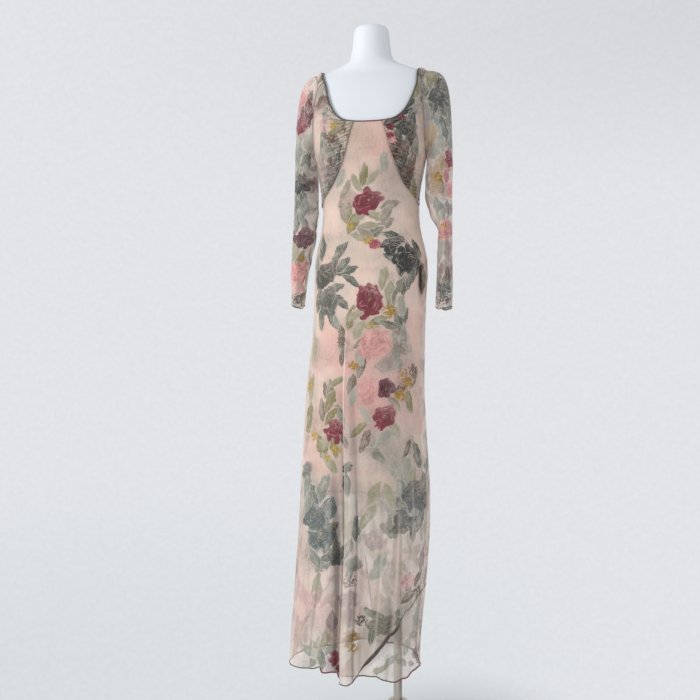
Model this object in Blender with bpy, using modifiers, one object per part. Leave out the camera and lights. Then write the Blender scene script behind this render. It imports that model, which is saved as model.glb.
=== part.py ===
# A long-sleeved bias-cut chiffon dress on a limbless dress form.
# Metres, +Z up, the front of the dress faces -Y, +X is the wearer's left.
import bmesh
import bpy
import math
import numpy as np
from mathutils import Vector

PART_NAME = "maxi_dress_on_form"

# Stand
POLE_X = 0.070
POLE_RADIUS = 0.011
POLE_TOP = 1.020
BORE_CLEARANCE = 0.0004
BASE_RADIUS = 0.142
BASE_THICKNESS = 0.008
HUB_TOP = 0.091

# Cloth
DRESS_WALL = 0.0012
SLIP_WALL = 0.0010
SEAM_GAP = 0.0012
HEM_HEIGHT = 0.187
SLIP_HEM = 0.640
WAIST_POINT = 1.360
BODICE_SHIFT = 0.007
SLIT_TOP = 0.400
UNDERLAP_DROP = 0.0150

# Armhole, an oval on the side of the form
ARM_TOP = 1.7115
ARM_BOTTOM = 1.490
ARM_HALF_ANGLE = math.radians(25)
ARM_GROW = 0.0024

BODY_COLUMNS = ("height", "half_width", "front", "back", "middle_y", "roundness")
BODY = (
    (0.900, 0.0990, 0.0660, 0.0740, 0.003, 2.2),
    (0.906, 0.1080, 0.0740, 0.0830, 0.003, 2.2),
    (0.930, 0.1150, 0.0800, 0.0900, 0.003, 2.2),
    (1.000, 0.1225, 0.0860, 0.0970, 0.003, 2.2),
    (1.080, 0.1305, 0.0905, 0.1010, 0.003, 2.2),
    (1.140, 0.1370, 0.0935, 0.1050, 0.004, 2.2),
    (1.187, 0.1415, 0.0950, 0.1080, 0.004, 2.2),
    (1.226, 0.1400, 0.0950, 0.1050, 0.004, 2.2),
    (1.255, 0.1350, 0.0930, 0.0985, 0.004, 2.2),
    (1.288, 0.1268, 0.0890, 0.0895, 0.003, 2.2),
    (1.320, 0.1213, 0.0860, 0.0830, 0.002, 2.2),
    (1.350, 0.1196, 0.0850, 0.0805, 0.001, 2.2),
    (1.385, 0.1204, 0.0860, 0.0815, 0.000, 2.2),
    (1.415, 0.1240, 0.0905, 0.0845, 0.000, 2.2),
    (1.445, 0.1298, 0.0985, 0.0885, 0.000, 2.2),
    (1.485, 0.1372, 0.1100, 0.0940, 0.000, 2.3),
    (1.525, 0.1440, 0.1150, 0.0975, 0.001, 2.4),
    (1.565, 0.1500, 0.1085, 0.0985, 0.002, 2.6),
    (1.610, 0.1555, 0.0925, 0.0965, 0.004, 2.8),
    (1.650, 0.1592, 0.0775, 0.0880, 0.006, 2.6),
    (1.680, 0.1600, 0.0645, 0.0750, 0.008, 2.3),
    (1.697, 0.1580, 0.0550, 0.0635, 0.009, 2.1),
    (1.7060, 0.1520, 0.0495, 0.0560, 0.010, 2.0),
    (1.7125, 0.1430, 0.0465, 0.0525, 0.010, 1.9),
    (1.7190, 0.1265, 0.0455, 0.0510, 0.010, 1.8),
    (1.7270, 0.1040, 0.0465, 0.0520, 0.010, 1.8),
    (1.7370, 0.0770, 0.0485, 0.0535, 0.010, 1.9),
    (1.7500, 0.0580, 0.0495, 0.0545, 0.010, 2.0),
    (1.7700, 0.0515, 0.0485, 0.0525, 0.010, 2.0),
    (1.8000, 0.0475, 0.0465, 0.0495, 0.009, 2.0),
    (1.8250, 0.0450, 0.0445, 0.0470, 0.009, 2.0),
    (1.8325, 0.0400, 0.0395, 0.0420, 0.009, 2.0),
    (1.8360, 0.0270, 0.0265, 0.0285, 0.009, 2.0),
)

SKIRT_COLUMNS = ("height", "half_width", "front", "back", "shift_x", "shift_y")
SKIRT = (
    (0.187, 0.1670, 0.1210, 0.1220, -0.0400, -0.020),
    (0.241, 0.1665, 0.1200, 0.1220, -0.0387, -0.018),
    (0.345, 0.1675, 0.1180, 0.1220, -0.0304, -0.016),
    (0.449, 0.1690, 0.1160, 0.1220, -0.0227, -0.013),
    (0.553, 0.1688, 0.1140, 0.1210, -0.0166, -0.010),
    (0.657, 0.1660, 0.1120, 0.1200, -0.0151, -0.008),
    (0.761, 0.1598, 0.1100, 0.1190, -0.0154, -0.006),
    (0.865, 0.1545, 0.1080, 0.1190, -0.0155, -0.004),
    (0.956, 0.1500, 0.1060, 0.1190, -0.0115, -0.002),
    (1.047, 0.1462, 0.1030, 0.1180, -0.0059, 0.001),
    (1.125, 0.1456, 0.1010, 0.1160, -0.0030, 0.003),
    (1.187, 0.1470, 0.1002, 0.1137, -0.0010, 0.004),
)

# Vertical folds of the skirt: angles at the hem from the +X side, the front at -90,
# and the degrees that each leans per metre of height
FOLD_COLUMNS = ("angle", "half_angle", "out_at_hem", "starts", "lean")
FOLDS = (
    (-92, 9, 0.0220, 1.04, -21),
    (-108, 8, -0.0090, 0.75, -15),
    (-74, 8, -0.0060, 0.85, -26),
    (-150, 13, 0.0080, 0.90, 4),
    (-45, 15, 0.0060, 0.80, 4),
    (38, 17, 0.0100, 0.90, -6),
    (88, 18, 0.0100, 0.95, 5),
    (138, 16, 0.0090, 0.90, 6),
)

NECK_COLUMNS = ("half_width", "height")
NECK_FRONT = (
    (0.1270, 1.7195),
    (0.1235, 1.7080),
    (0.1185, 1.6860),
    (0.1110, 1.6580),
    (0.1020, 1.6300),
    (0.0910, 1.6060),
    (0.0760, 1.5850),
    (0.0540, 1.5700),
    (0.0350, 1.5640),
    (0.0000, 1.5625),
)
NECK_BACK = (
    (0.1270, 1.7195),
    (0.1235, 1.7100),
    (0.1150, 1.6940),
    (0.0980, 1.6720),
    (0.0720, 1.6560),
    (0.0360, 1.6480),
    (0.0000, 1.6460),
)

# Seam between the middle front and each bust panel, from the waist point up
BUST_SEAM_COLUMNS = ("half_width", "height")
BUST_SEAM = (
    (0.1190, 1.3660),
    (0.1110, 1.3830),
    (0.0990, 1.3980),
    (0.0840, 1.4180),
    (0.0700, 1.4480),
    (0.0610, 1.4700),
    (0.0540, 1.4900),
    (0.0470, 1.5180),
    (0.0410, 1.5400),
    (0.0350, 1.5640),
)

# Free edge of the front below the slit, with the underlap of the back
SLIT_COLUMNS = ("height", "front_edge", "back_edge")
SLIT = (
    (0.187, -79, -104),
    (0.241, -62, -86),
    (0.308, -41, -63),
    (0.347, -31, -50),
    (0.378, -18, -33),
    (0.400, 0, 0),
)

SLEEVE_COLUMNS = ("height", "middle_x", "half_width", "half_depth")
SLEEVE_LEFT = (
    (1.4400, 0.1755, 0.0340, 0.0600),
    (1.3950, 0.1745, 0.0348, 0.0590),
    (1.3410, 0.1825, 0.0268, 0.0570),
    (1.3155, 0.1885, 0.0215, 0.0560),
    (1.2950, 0.1920, 0.0182, 0.0550),
    (1.2500, 0.1911, 0.0190, 0.0520),
    (1.1740, 0.1900, 0.0203, 0.0460),
    (1.1270, 0.1886, 0.0210, 0.0420),
    (1.1030, 0.1880, 0.0210, 0.0410),
)
SLEEVE_RIGHT = (
    (1.4400, -0.1725, 0.0285, 0.0600),
    (1.3900, -0.1732, 0.0291, 0.0590),
    (1.3350, -0.1758, 0.0289, 0.0580),
    (1.2850, -0.1789, 0.0279, 0.0560),
    (1.2450, -0.1855, 0.0243, 0.0530),
    (1.2060, -0.1900, 0.0206, 0.0500),
    (1.1660, -0.1932, 0.0176, 0.0460),
    (1.1270, -0.1952, 0.0158, 0.0420),
    (1.1100, -0.1956, 0.0156, 0.0410),
)
SLEEVE_MIDDLE_Y = 0.012
CAP_REACH = (0.030, 0.050)

FRONT_ANGLES = (-180, -84, 14, 6)
BACK_COLUMNS = 16
SLIP_COLUMNS = 14
BUST_COLUMNS = 5
STRAP_COLUMNS = 2
SKIRT_ROWS = (0.187, 0.241, 0.308, 0.347, 0.378, 0.400, 0.450, 0.580,
              0.710, 0.840, 0.960, 1.060, 1.130, 1.187, 1.240, 1.300, 1.360)
SLIP_ROWS = (0.640, 0.760, 0.880, 0.990, 1.080, 1.140, 1.187, 1.240, 1.300, 1.360)
SIDE_ROWS = (1.368, 1.390, 1.420, 1.455)
ARM_ROWS = 13


def clear_scene():
    for thing in list(bpy.data.objects):
        bpy.data.objects.remove(thing, do_unlink=True)


def smooth(rows, column, at):
    """Reads a table's column at the given first-column values along a curve with no overshoot."""
    table = np.array(sorted(rows))
    x, y = table[:, 0], table[:, column]
    step = np.diff(x)
    rate = np.diff(y) / step
    slope = np.zeros(len(x))
    same = rate[:-1] * rate[1:] > 0
    with np.errstate(divide="ignore", invalid="ignore"):
        middle = 2 * rate[:-1] * rate[1:] / (rate[:-1] + rate[1:])
    slope[1:-1] = np.where(same, middle, 0)
    slope[0], slope[-1] = rate[0], rate[-1]
    at = np.clip(np.asarray(at, float), x[0], x[-1])
    k = np.clip(np.searchsorted(x, at, side="right") - 1, 0, len(x) - 2)
    u = (at - x[k]) / step[k]
    return (
        y[k] * (1 + 2 * u) * (1 - u) ** 2
        + y[k + 1] * u * u * (3 - 2 * u)
        + step[k] * u * (1 - u) * (slope[k] * (1 - u) - slope[k + 1] * u)
    )


def ease(value):
    value = np.clip(value, 0, 1)
    return value * value * (3 - 2 * value)


def oval(angle, half_width, front, back, roundness):
    """Radius of a rounded oval in each direction."""
    depth = np.where(np.sin(angle) < 0, front, back)
    across = np.abs(np.cos(angle)) / half_width
    along = np.abs(np.sin(angle)) / depth
    return (across**roundness + along**roundness) ** (-1 / roundness)


def body_point(height, angle):
    width, front, back, middle, power = (smooth(BODY, c, height) for c in range(1, 6))
    radius = oval(angle, width, front, back, power)
    return np.stack(
        [radius * np.cos(angle), middle + radius * np.sin(angle), height + 0 * angle], -1
    )


def fold_out(height, angle):
    total = np.zeros(np.broadcast(height, angle).shape)
    for where, half, out, starts, lean in FOLDS:
        middle = where + lean * (height - HEM_HEIGHT)
        apart = np.abs((np.degrees(angle) - middle + 180) % 360 - 180) / half
        growth = ease((starts - height) / (starts - HEM_HEIGHT))
        total = total + out * growth * ease(1 - apart / 2)
    return total


def skirt_point(height, angle, folds=1.0, inside=0.0):
    width, front, back, shift_x, shift_y = (
        smooth(SKIRT, c, height) for c in range(1, 6)
    )
    radius = oval(angle, width, front, back, 2.15)
    radius = radius + folds * fold_out(height, angle) - inside
    return np.stack(
        [shift_x + radius * np.cos(angle), shift_y + radius * np.sin(angle), height + 0 * angle],
        -1,
    )


def surface_normals(place, height, angle):
    """Outward normals of a surface given as a function of height and angle."""
    step = 1e-4
    up = place(height + step, angle) - place(height - step, angle)
    around = place(height, angle + step) - place(height, angle - step)
    normal = np.cross(around, up)
    return normal / np.linalg.norm(normal, axis=-1, keepdims=True)


def lifted(height, angle, lift):
    height = np.minimum(height, 1.79)
    return body_point(height, angle) + surface_normals(body_point, height, angle) * lift


def dress_point(height, angle, drop=0.0):
    """The dress follows the form down to the hips and hangs free below them."""
    height, angle = np.broadcast_arrays(np.asarray(height, float), np.asarray(angle, float))
    lift = 0.0052 - 0.0010 * ease((height - 1.60) / 0.09)
    worn = lifted(np.maximum(height, 1.10), angle, np.expand_dims(lift, -1))
    worn[..., 2] += np.minimum(height - 1.10, 0)
    hung = skirt_point(height, angle, folds=1 - drop / UNDERLAP_DROP, inside=drop)
    share = np.expand_dims(ease((height - 1.14) / 0.09), -1)
    return worn * share + hung * (1 - share)


def slip_point(height, angle):
    height, angle = np.broadcast_arrays(np.asarray(height, float), np.asarray(angle, float))
    lift = 0.0021 - 0.0008 * ease((height - 1.60) / 0.09)
    worn = lifted(np.maximum(height, 1.10), angle, np.expand_dims(lift, -1))
    worn[..., 2] += np.minimum(height - 1.10, 0)
    inside = 0.0036 + 0.011 * ease((1.20 - height) / 0.45)
    hung = skirt_point(height, angle, folds=0.55, inside=inside)
    share = np.expand_dims(ease((height - 1.14) / 0.09), -1)
    return worn * share + hung * (1 - share)


def angle_at(height, x, front):
    """Angle on the form at a height where the given x is met, on its front or back."""
    width, ahead, behind, _, power = (smooth(BODY, c, height) for c in range(1, 6))
    depth = np.where(front, ahead, behind)
    share = np.clip(np.abs(x) / width, 0, 1)
    y = depth * (1 - share**power) ** (1 / power) * np.where(front, -1, 1)
    return np.arctan2(y, x)


def neck_curve(rows, front, grow=0.0):
    """Heights and angles along a neckline from the +X shoulder to the -X shoulder."""
    half = np.array(rows)
    half = half + np.array([grow, -grow]) * ease((1.7195 - half[:, 1:]) / 0.02)
    x = np.concatenate([half[:, 0], -half[-2::-1, 0]])
    z = np.concatenate([half[:, 1], half[-2::-1, 1]])
    level = 1 - ease((z - 1.66) / 0.05)
    angle = angle_at(z, x + BODICE_SHIFT * level * front, front)
    angle[0], angle[-1] = 0, math.pi * (-1 if front else 1)
    return z, angle


def along(values, count, power=1.0):
    """Resamples a polyline of columns evenly by its length."""
    values = np.array(values, float)
    place = np.concatenate([[0], np.cumsum(np.linalg.norm(np.diff(values, axis=0), axis=1))])
    at = np.linspace(0, 1, count) ** power * place[-1]
    return np.stack([np.interp(at, place, values[:, c]) for c in range(values.shape[1])], 1)


def arm_curve(grow):
    """The armhole from the underarm up to the shoulder, as heights and angles off the side."""
    turn = math.pi * (1 - np.linspace(0, 1, ARM_ROWS) ** 0.9)
    middle = (ARM_TOP + ARM_BOTTOM) / 2
    half = (ARM_TOP - ARM_BOTTOM) / 2
    height = middle + (half + grow) * np.cos(turn)
    angle = (ARM_HALF_ANGLE + grow / 0.13) * np.sin(turn)
    height[-1] = ARM_TOP + 0.3 * grow
    return height, angle


def side_curve(grow):
    """One edge from the waist point up: side seam, underarm and armhole."""
    arm_height, arm_angle = arm_curve(grow)
    height = np.concatenate([[WAIST_POINT], SIDE_ROWS, arm_height])
    angle = np.concatenate([np.zeros(1 + len(SIDE_ROWS)), arm_angle])
    return height, angle


def coons(bottom, top, left, right, across=None):
    """Fills a four-sided outline of (height, angle) points, rows upward and columns across."""
    v = ((left[:, 0] - left[0, 0]) / (left[-1, 0] - left[0, 0]))[:, None, None]
    u = np.linspace(0, 1, len(bottom)) if across is None else across
    u = u[None, :, None]
    flat = (1 - v) * bottom[None] + v * top[None]
    level = (1 - u) * left[:, None] + u * right[:, None]
    corners = (1 - v) * ((1 - u) * bottom[0] + u * bottom[-1]) + v * ((1 - u) * top[0] + u * top[-1])
    return flat + level - corners


def pair(height, angle):
    height, angle = np.broadcast_arrays(height, angle)
    return np.stack([height, angle], -1)


def whole_piece(front, rows, starts, columns, grow, neck_grow, strap_row, strap_x):
    """A front or back in one piece: a main grid up to the neckline and one grid for each strap."""
    sign = -1 if front else 1
    height, angle = side_curve(grow)
    share = np.linspace(0, 1, columns + 1)
    turned = starts[:, None] + (sign * math.pi - starts[:, None]) * share[None]
    skirt = pair(rows[:, None], turned)
    neck_height, neck_angle = neck_curve(NECK_FRONT if front else NECK_BACK, front, neck_grow)
    steps = np.diff(body_point(neck_height, neck_angle), axis=0)
    place = np.concatenate([[0], np.cumsum(np.linalg.norm(steps, axis=1))])
    mark = strap_x * place[-1]
    up = len(height) - strap_row

    def read(at):
        return pair(np.interp(at, place, neck_height), np.interp(at, place, neck_angle))

    low = read(np.linspace(mark, place[-1] - mark, columns + 1 - 2 * STRAP_COLUMNS))
    left = pair(height, sign * angle)
    right = pair(height, sign * (math.pi - angle))
    share = np.linspace(0, 1, STRAP_COLUMNS + 1)[:, None]
    base_left = left[strap_row] * (1 - share) + low[0] * share
    base_right = low[-1] * (1 - share) + right[strap_row] * share
    top = np.concatenate([base_left[:-1], low, base_right[1:]])
    chest = coons(skirt[-1], top, left[: strap_row + 1], right[: strap_row + 1])
    share = share[None, :, 0, None]
    inner_left = read(np.linspace(mark, 0, up))[:, None]
    inner_right = read(np.linspace(place[-1] - mark, place[-1], up))[:, None]
    strap_left = left[strap_row:, None] * (1 - share) + inner_left * share
    strap_right = inner_right * (1 - share) + right[strap_row:, None] * share
    return np.concatenate([skirt, chest[1:]]), strap_left, strap_right


def cloth_grid(place, domain, drop=None):
    """Points over a (height, angle) grid, pushed out so that each facet's middle lies on the surface."""
    extra = [] if drop is None else [drop]
    points = place(domain[..., 0], domain[..., 1], *extra)
    quarters = (slice(None, -1), slice(1, None))
    corner_mean = sum(points[r, c] for r in quarters for c in quarters) / 4
    middle = sum(domain[r, c] for r in quarters for c in quarters) / 4
    if drop is not None:
        extra = [sum(drop[r, c] for r in quarters for c in quarters) / 4]
    true_middle = place(middle[..., 0], middle[..., 1], *extra)
    normal = np.cross(points[1:, 1:] - points[:-1, :-1], points[1:, :-1] - points[:-1, 1:])
    normal /= np.maximum(np.linalg.norm(normal, axis=-1, keepdims=True), 1e-12)
    axis = np.stack([0 * true_middle[..., 0], 0 * true_middle[..., 0], true_middle[..., 2]], -1)
    normal *= np.sign(((true_middle - axis) * normal).sum(-1, keepdims=True))
    short = np.clip(((true_middle - corner_mean) * normal).sum(-1, keepdims=True), 0, 0.004)
    push = np.zeros_like(points)
    count = np.zeros(points.shape[:2] + (1,))
    for r in quarters:
        for c in quarters:
            push[r, c] += short * normal
            count[r, c] += 1
    return points + push / count


def inset(grid, sides):
    """Moves the named sides of a grid of points inward by half a seam gap."""
    moved = grid.copy()
    edges = {"low": (0, 1), "high": (-1, -2), "first": (0, 1), "last": (-1, -2)}
    for side in sides:
        edge, inner = edges[side]
        at = (edge,) if side in ("low", "high") else (slice(None), edge)
        toward = grid[(inner,) if side in ("low", "high") else (slice(None), inner)] - grid[at]
        length = np.linalg.norm(toward, axis=-1, keepdims=True)
        moved[at] += toward / np.maximum(length, 1e-9) * SEAM_GAP / 2
    return moved


def add_material(thing, color, roughness, metallic=0.0):
    material = bpy.data.materials.new(thing.name)
    material.use_nodes = True
    shader = material.node_tree.nodes["Principled BSDF"]
    shader.inputs["Base Color"].default_value = (*color, 1)
    shader.inputs["Roughness"].default_value = roughness
    shader.inputs["Metallic"].default_value = metallic
    thing.data.materials.append(material)


def add_mesh(name, points, faces, home):
    mesh = bpy.data.meshes.new(name)
    mesh.from_pydata(np.reshape(points, (-1, 3)).tolist(), [], faces)
    mesh.validate()
    thing = bpy.data.objects.new(name, mesh)
    home.objects.link(thing)
    return thing


def grid_faces(rows, columns, closed=False):
    faces = []
    for r in range(rows - 1):
        for c in range(columns if closed else columns - 1):
            nxt = (c + 1) % columns
            faces.append((r * columns + c, r * columns + nxt,
                          (r + 1) * columns + nxt, (r + 1) * columns + c))
    return faces


def add_cloth(name, grids, wall, home, color, closed=False):
    """One piece of cloth from one or more grids of points that share rows."""
    points, faces, total = [], [], 0
    for grid in grids:
        rows, columns = grid.shape[:2]
        faces += [tuple(v + total for v in face) for face in grid_faces(rows, columns, closed)]
        points.append(grid.reshape(-1, 3))
        total += rows * columns
    thing = add_mesh(name, np.concatenate(points), faces, home)
    work = bmesh.new()
    work.from_mesh(thing.data)
    bmesh.ops.remove_doubles(work, verts=work.verts, dist=1e-6)
    bmesh.ops.recalc_face_normals(work, faces=work.faces)
    work.to_mesh(thing.data)
    work.free()
    split = thing.modifiers.new("facets", "TRIANGULATE")
    split.quad_method = "SHORTEST_DIAGONAL"
    solid = thing.modifiers.new("wall", "SOLIDIFY")
    solid.thickness = wall
    solid.offset = 0
    add_material(thing, color, 0.8)
    return thing


def add_form(home):
    """The form: rings up the body table, closed flat below and domed above."""
    heights = np.array([row[0] for row in BODY])
    between = (heights[1:] + heights[:-1]) / 2
    wide = np.diff(heights) > 0.03
    heights = np.sort(np.concatenate([heights, between[wide]]))
    count = 40
    angles = np.linspace(0, 2 * math.pi, count, endpoint=False)
    rings = body_point(heights[:, None], angles[None, :])
    rows = len(heights)
    faces = grid_faces(rows, count, closed=True)
    top = rows * count
    points = np.concatenate([rings.reshape(-1, 3), [[0, 0.010, 1.838], [0, 0.004, 0.900]]])
    last = (rows - 1) * count
    faces += [(last + c, last + (c + 1) % count, top) for c in range(count)]
    faces += [((c + 1) % count, c, top + 1) for c in range(count)]
    form = add_mesh("form_torso", points, faces, home)
    add_material(form, (0.80, 0.82, 0.85), 0.45)
    return form


def add_cylinder(name, radius, low, high, home, segments=40, bevel=0.0):
    bpy.ops.mesh.primitive_cylinder_add(
        vertices=segments, radius=radius, depth=high - low, location=(POLE_X, 0, (low + high) / 2)
    )
    thing = bpy.context.object
    thing.name = name
    for old in list(thing.users_collection):
        old.objects.unlink(thing)
    home.objects.link(thing)
    if bevel:
        rounding = thing.modifiers.new("edge", "BEVEL")
        rounding.width = bevel
        rounding.segments = 2
        rounding.limit_method = "ANGLE"
        rounding.angle_limit = math.radians(50)
    return thing


def add_stand(form, home, helpers):
    base = add_cylinder("base_plate", BASE_RADIUS, 0, BASE_THICKNESS, home, 56, 0.002)
    add_material(base, (0.55, 0.54, 0.53), 0.35, 1.0)
    hub = add_cylinder("pole_hub", 0.0275, BASE_THICKNESS + 0.0003, HUB_TOP, home, 32, 0.003)
    bore = add_cylinder("hub_bore", POLE_RADIUS + BORE_CLEARANCE, 0, 0.2, helpers, 24)
    cut_from(hub, bore)
    add_material(hub, (0.60, 0.59, 0.57), 0.3, 1.0)
    pole = add_cylinder("pole", POLE_RADIUS, BASE_THICKNESS + 0.0003, POLE_TOP, home, 24, 0.001)
    add_material(pole, (0.62, 0.60, 0.57), 0.3, 1.0)
    socket = add_cylinder(
        "form_bore", POLE_RADIUS + BORE_CLEARANCE, 0.80, POLE_TOP + 0.0005, helpers, 24
    )
    cut_from(form, socket)


def cut_from(thing, cutter):
    cutter.hide_render = True
    cutter.display_type = "WIRE"
    cut = thing.modifiers.new("bore", "BOOLEAN")
    cut.operation = "DIFFERENCE"
    cut.object = cutter
    cut.solver = "EXACT"


def slit_edges(height):
    front = np.radians([np.interp(height, [r[0] for r in SLIT], [r[1] for r in SLIT])])[0]
    back = np.radians([np.interp(height, [r[0] for r in SLIT], [r[2] for r in SLIT])])[0]
    return front, back


def front_middle():
    """Middle front, cut in one from the neckline to the hem, with the open slit edge."""
    rows = np.array(SKIRT_ROWS)
    right, _ = slit_edges(rows)
    far, turn, still, moving = FRONT_ANGLES
    steady = np.radians(np.linspace(turn, far, still + 1))[None] + 0 * right[:, None]
    share = np.linspace(0, 1, moving + 1)[:-1]
    swung = right[:, None] + (math.radians(turn) - right[:, None]) * share[None]
    angle = np.concatenate([swung, steady], axis=1)
    skirt = pair(rows[:, None], angle)
    seam_left, seam_right = bust_seam(1), bust_seam(-1)
    low = skirt[-1]
    across = -low[:, 1] / math.pi
    x = BODICE_SHIFT + BUST_SEAM[-1][0] * (1 - 2 * across)
    z = 1.5625 + 0.0015 * ((x - BODICE_SHIFT) / BUST_SEAM[-1][0]) ** 2
    high = pair(z, angle_at(z, x, True))
    chest = coons(low, high, np.concatenate([[low[0]], seam_left]),
                  np.concatenate([[low[-1]], seam_right]), across)
    return np.concatenate([skirt, chest[1:]])


def bust_seam(side):
    """Heights and angles up the seam, side 1 on +X and -1 on -X."""
    rows = np.array(BUST_SEAM)
    shift = BODICE_SHIFT * ease((rows[:, 1] - 1.37) / 0.12)
    return pair(rows[:, 1], angle_at(rows[:, 1], side * rows[:, 0] + shift, True))


def bust_panel(side):
    """Side bust panel between the seam, the neckline, the shoulder and the armhole."""
    height, angle = side_curve(ARM_GROW)
    outer = pair(height, -angle if side > 0 else angle - math.pi)[1:]
    seam = bust_seam(side)
    neck_height, neck_angle = neck_curve(NECK_FRONT, True)
    if side < 0:
        neck_height, neck_angle = neck_height[::-1], neck_angle[::-1]
    neck = pair(neck_height, neck_angle)[: len(NECK_FRONT) - 1][::-1]
    extra = len(outer) - len(seam)
    neck = along(neck, extra + 1)[1:]
    inner = np.concatenate([seam, neck])
    u = np.linspace(0, 1, BUST_COLUMNS + 1)[:, None]
    low = inner[0] * (1 - u) + outer[0] * u
    high = inner[-1] * (1 - u) + outer[-1] * u
    return coons(low, high, inner, outer)


def worn_piece(place, domains, drop=None):
    """Points of a main grid and its two straps, joined along the row that they share."""
    main, left, right = (
        cloth_grid(place, d, drop if d is domains[0] else None) for d in domains
    )
    main = inset(main, ("first", "last"))
    left = inset(left, ("high", "first"))
    right = inset(right, ("high", "last"))
    left[0], right[0] = main[-1, : STRAP_COLUMNS + 1], main[-1, -STRAP_COLUMNS - 1 :]
    return main, left, right


def underlap_drop(height, angle):
    """How far the back is tucked inside the front near the open edge."""
    front, _ = slit_edges(height)
    near = ease((np.radians(14) + front - angle) / np.radians(14))
    below = ease((0.450 - height) / 0.050)
    deeper = 0.0040 + (UNDERLAP_DROP - 0.0040) * ease((SLIT_TOP - height) / 0.06)
    return deeper * near * below


def add_sleeve(name, table, side, home, color):
    """A tube from the armhole over the cap and down to the open cuff."""
    around = np.linspace(0, 2 * math.pi, 14, endpoint=False)
    middle = (ARM_TOP + ARM_BOTTOM) / 2
    half = (ARM_TOP - ARM_BOTTOM) / 2 - 0.0002
    height = middle + half * np.cos(around)
    angle = -ARM_HALF_ANGLE * np.sin(around)
    start = dress_point(height, angle if side > 0 else math.pi - angle)
    rows = np.array(table)
    first = rows[0]
    end = np.stack([first[1] + side * first[2] * np.cos(around),
                    SLEEVE_MIDDLE_Y - first[3] * np.sin(around),
                    np.full(len(around), first[0])], -1)
    top = (1 + np.cos(around[:, None])) / 2
    reach = (CAP_REACH[1] if side > 0 else CAP_REACH[0]) * top + 0.006
    rise = 0.215 * top + 0.025
    leave = start + np.array([side, 0, 0]) * reach
    arrive = end + np.array([0, 0, 1.0]) * rise
    rings = []
    for u in np.linspace(0, 1, 7)[:-1]:
        rings.append((1 - u) ** 3 * start + 3 * u * (1 - u) ** 2 * leave
                     + 3 * u * u * (1 - u) * arrive + u**3 * end)
    for z, x, width, depth in rows:
        rings.append(np.stack([x + side * width * np.cos(around),
                               SLEEVE_MIDDLE_Y - depth * np.sin(around),
                               np.full(len(around), z)], -1))
    grid = np.array(rings)
    if side > 0:
        grid = grid[:, ::-1]
    return add_cloth(name, [grid[::-1]], DRESS_WALL, home, color, closed=True)


def neck_edge(domain, points):
    """An edge's points beside the outward directions there."""
    return np.concatenate(
        [points, surface_normals(body_point, domain[..., 0], domain[..., 1])], axis=-1
    )


def add_binding(edge, home, color):
    """Narrow bound edge round the whole neckline, a flat loop just above the panels' edges."""
    ring, outward = edge[:, :3], edge[:, 3:]
    count = len(ring)
    tangent = np.roll(ring, -1, 0) - np.roll(ring, 1, 0)
    tangent /= np.linalg.norm(tangent, axis=1, keepdims=True)
    outward = outward - (outward * tangent).sum(1, keepdims=True) * tangent
    outward /= np.linalg.norm(outward, axis=1, keepdims=True)
    inward = np.cross(outward, tangent)
    inward *= np.sign((inward * (np.array([0, 0.006, 1.80]) - ring)).sum(1, keepdims=True))
    corners = ((0.0018, -0.0008), (0.0048, -0.0008), (0.0048, 0.0010), (0.0018, 0.0010))
    grid = np.stack([ring + inward * reach + outward * lift for reach, lift in corners], 1)
    faces = []
    for i in range(count):
        j = (i + 1) % count
        for s in range(4):
            e = (s + 1) % 4
            faces.append((i * 4 + s, i * 4 + e, j * 4 + e, j * 4 + s))
    thing = add_mesh("neck_binding", grid, faces, home)
    add_material(thing, color, 0.8)
    return thing


def outward_faces(thing):
    """Turns a closed mesh's faces outward."""
    work = bmesh.new()
    work.from_mesh(thing.data)
    bmesh.ops.recalc_face_normals(work, faces=work.faces)
    work.to_mesh(thing.data)
    work.free()


def centre_on_origin(home):
    """Moves everything so that the middle of the whole box stands over the origin."""
    bpy.context.view_layer.update()
    shown = [thing for thing in home.objects if thing.type == "MESH"]
    corners = np.array([thing.matrix_world @ Vector(c) for thing in shown for c in thing.bound_box])
    middle = (corners.min(0) + corners.max(0)) / 2
    for thing in bpy.data.objects:
        thing.location.x -= middle[0]
        thing.location.y -= middle[1]


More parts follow.
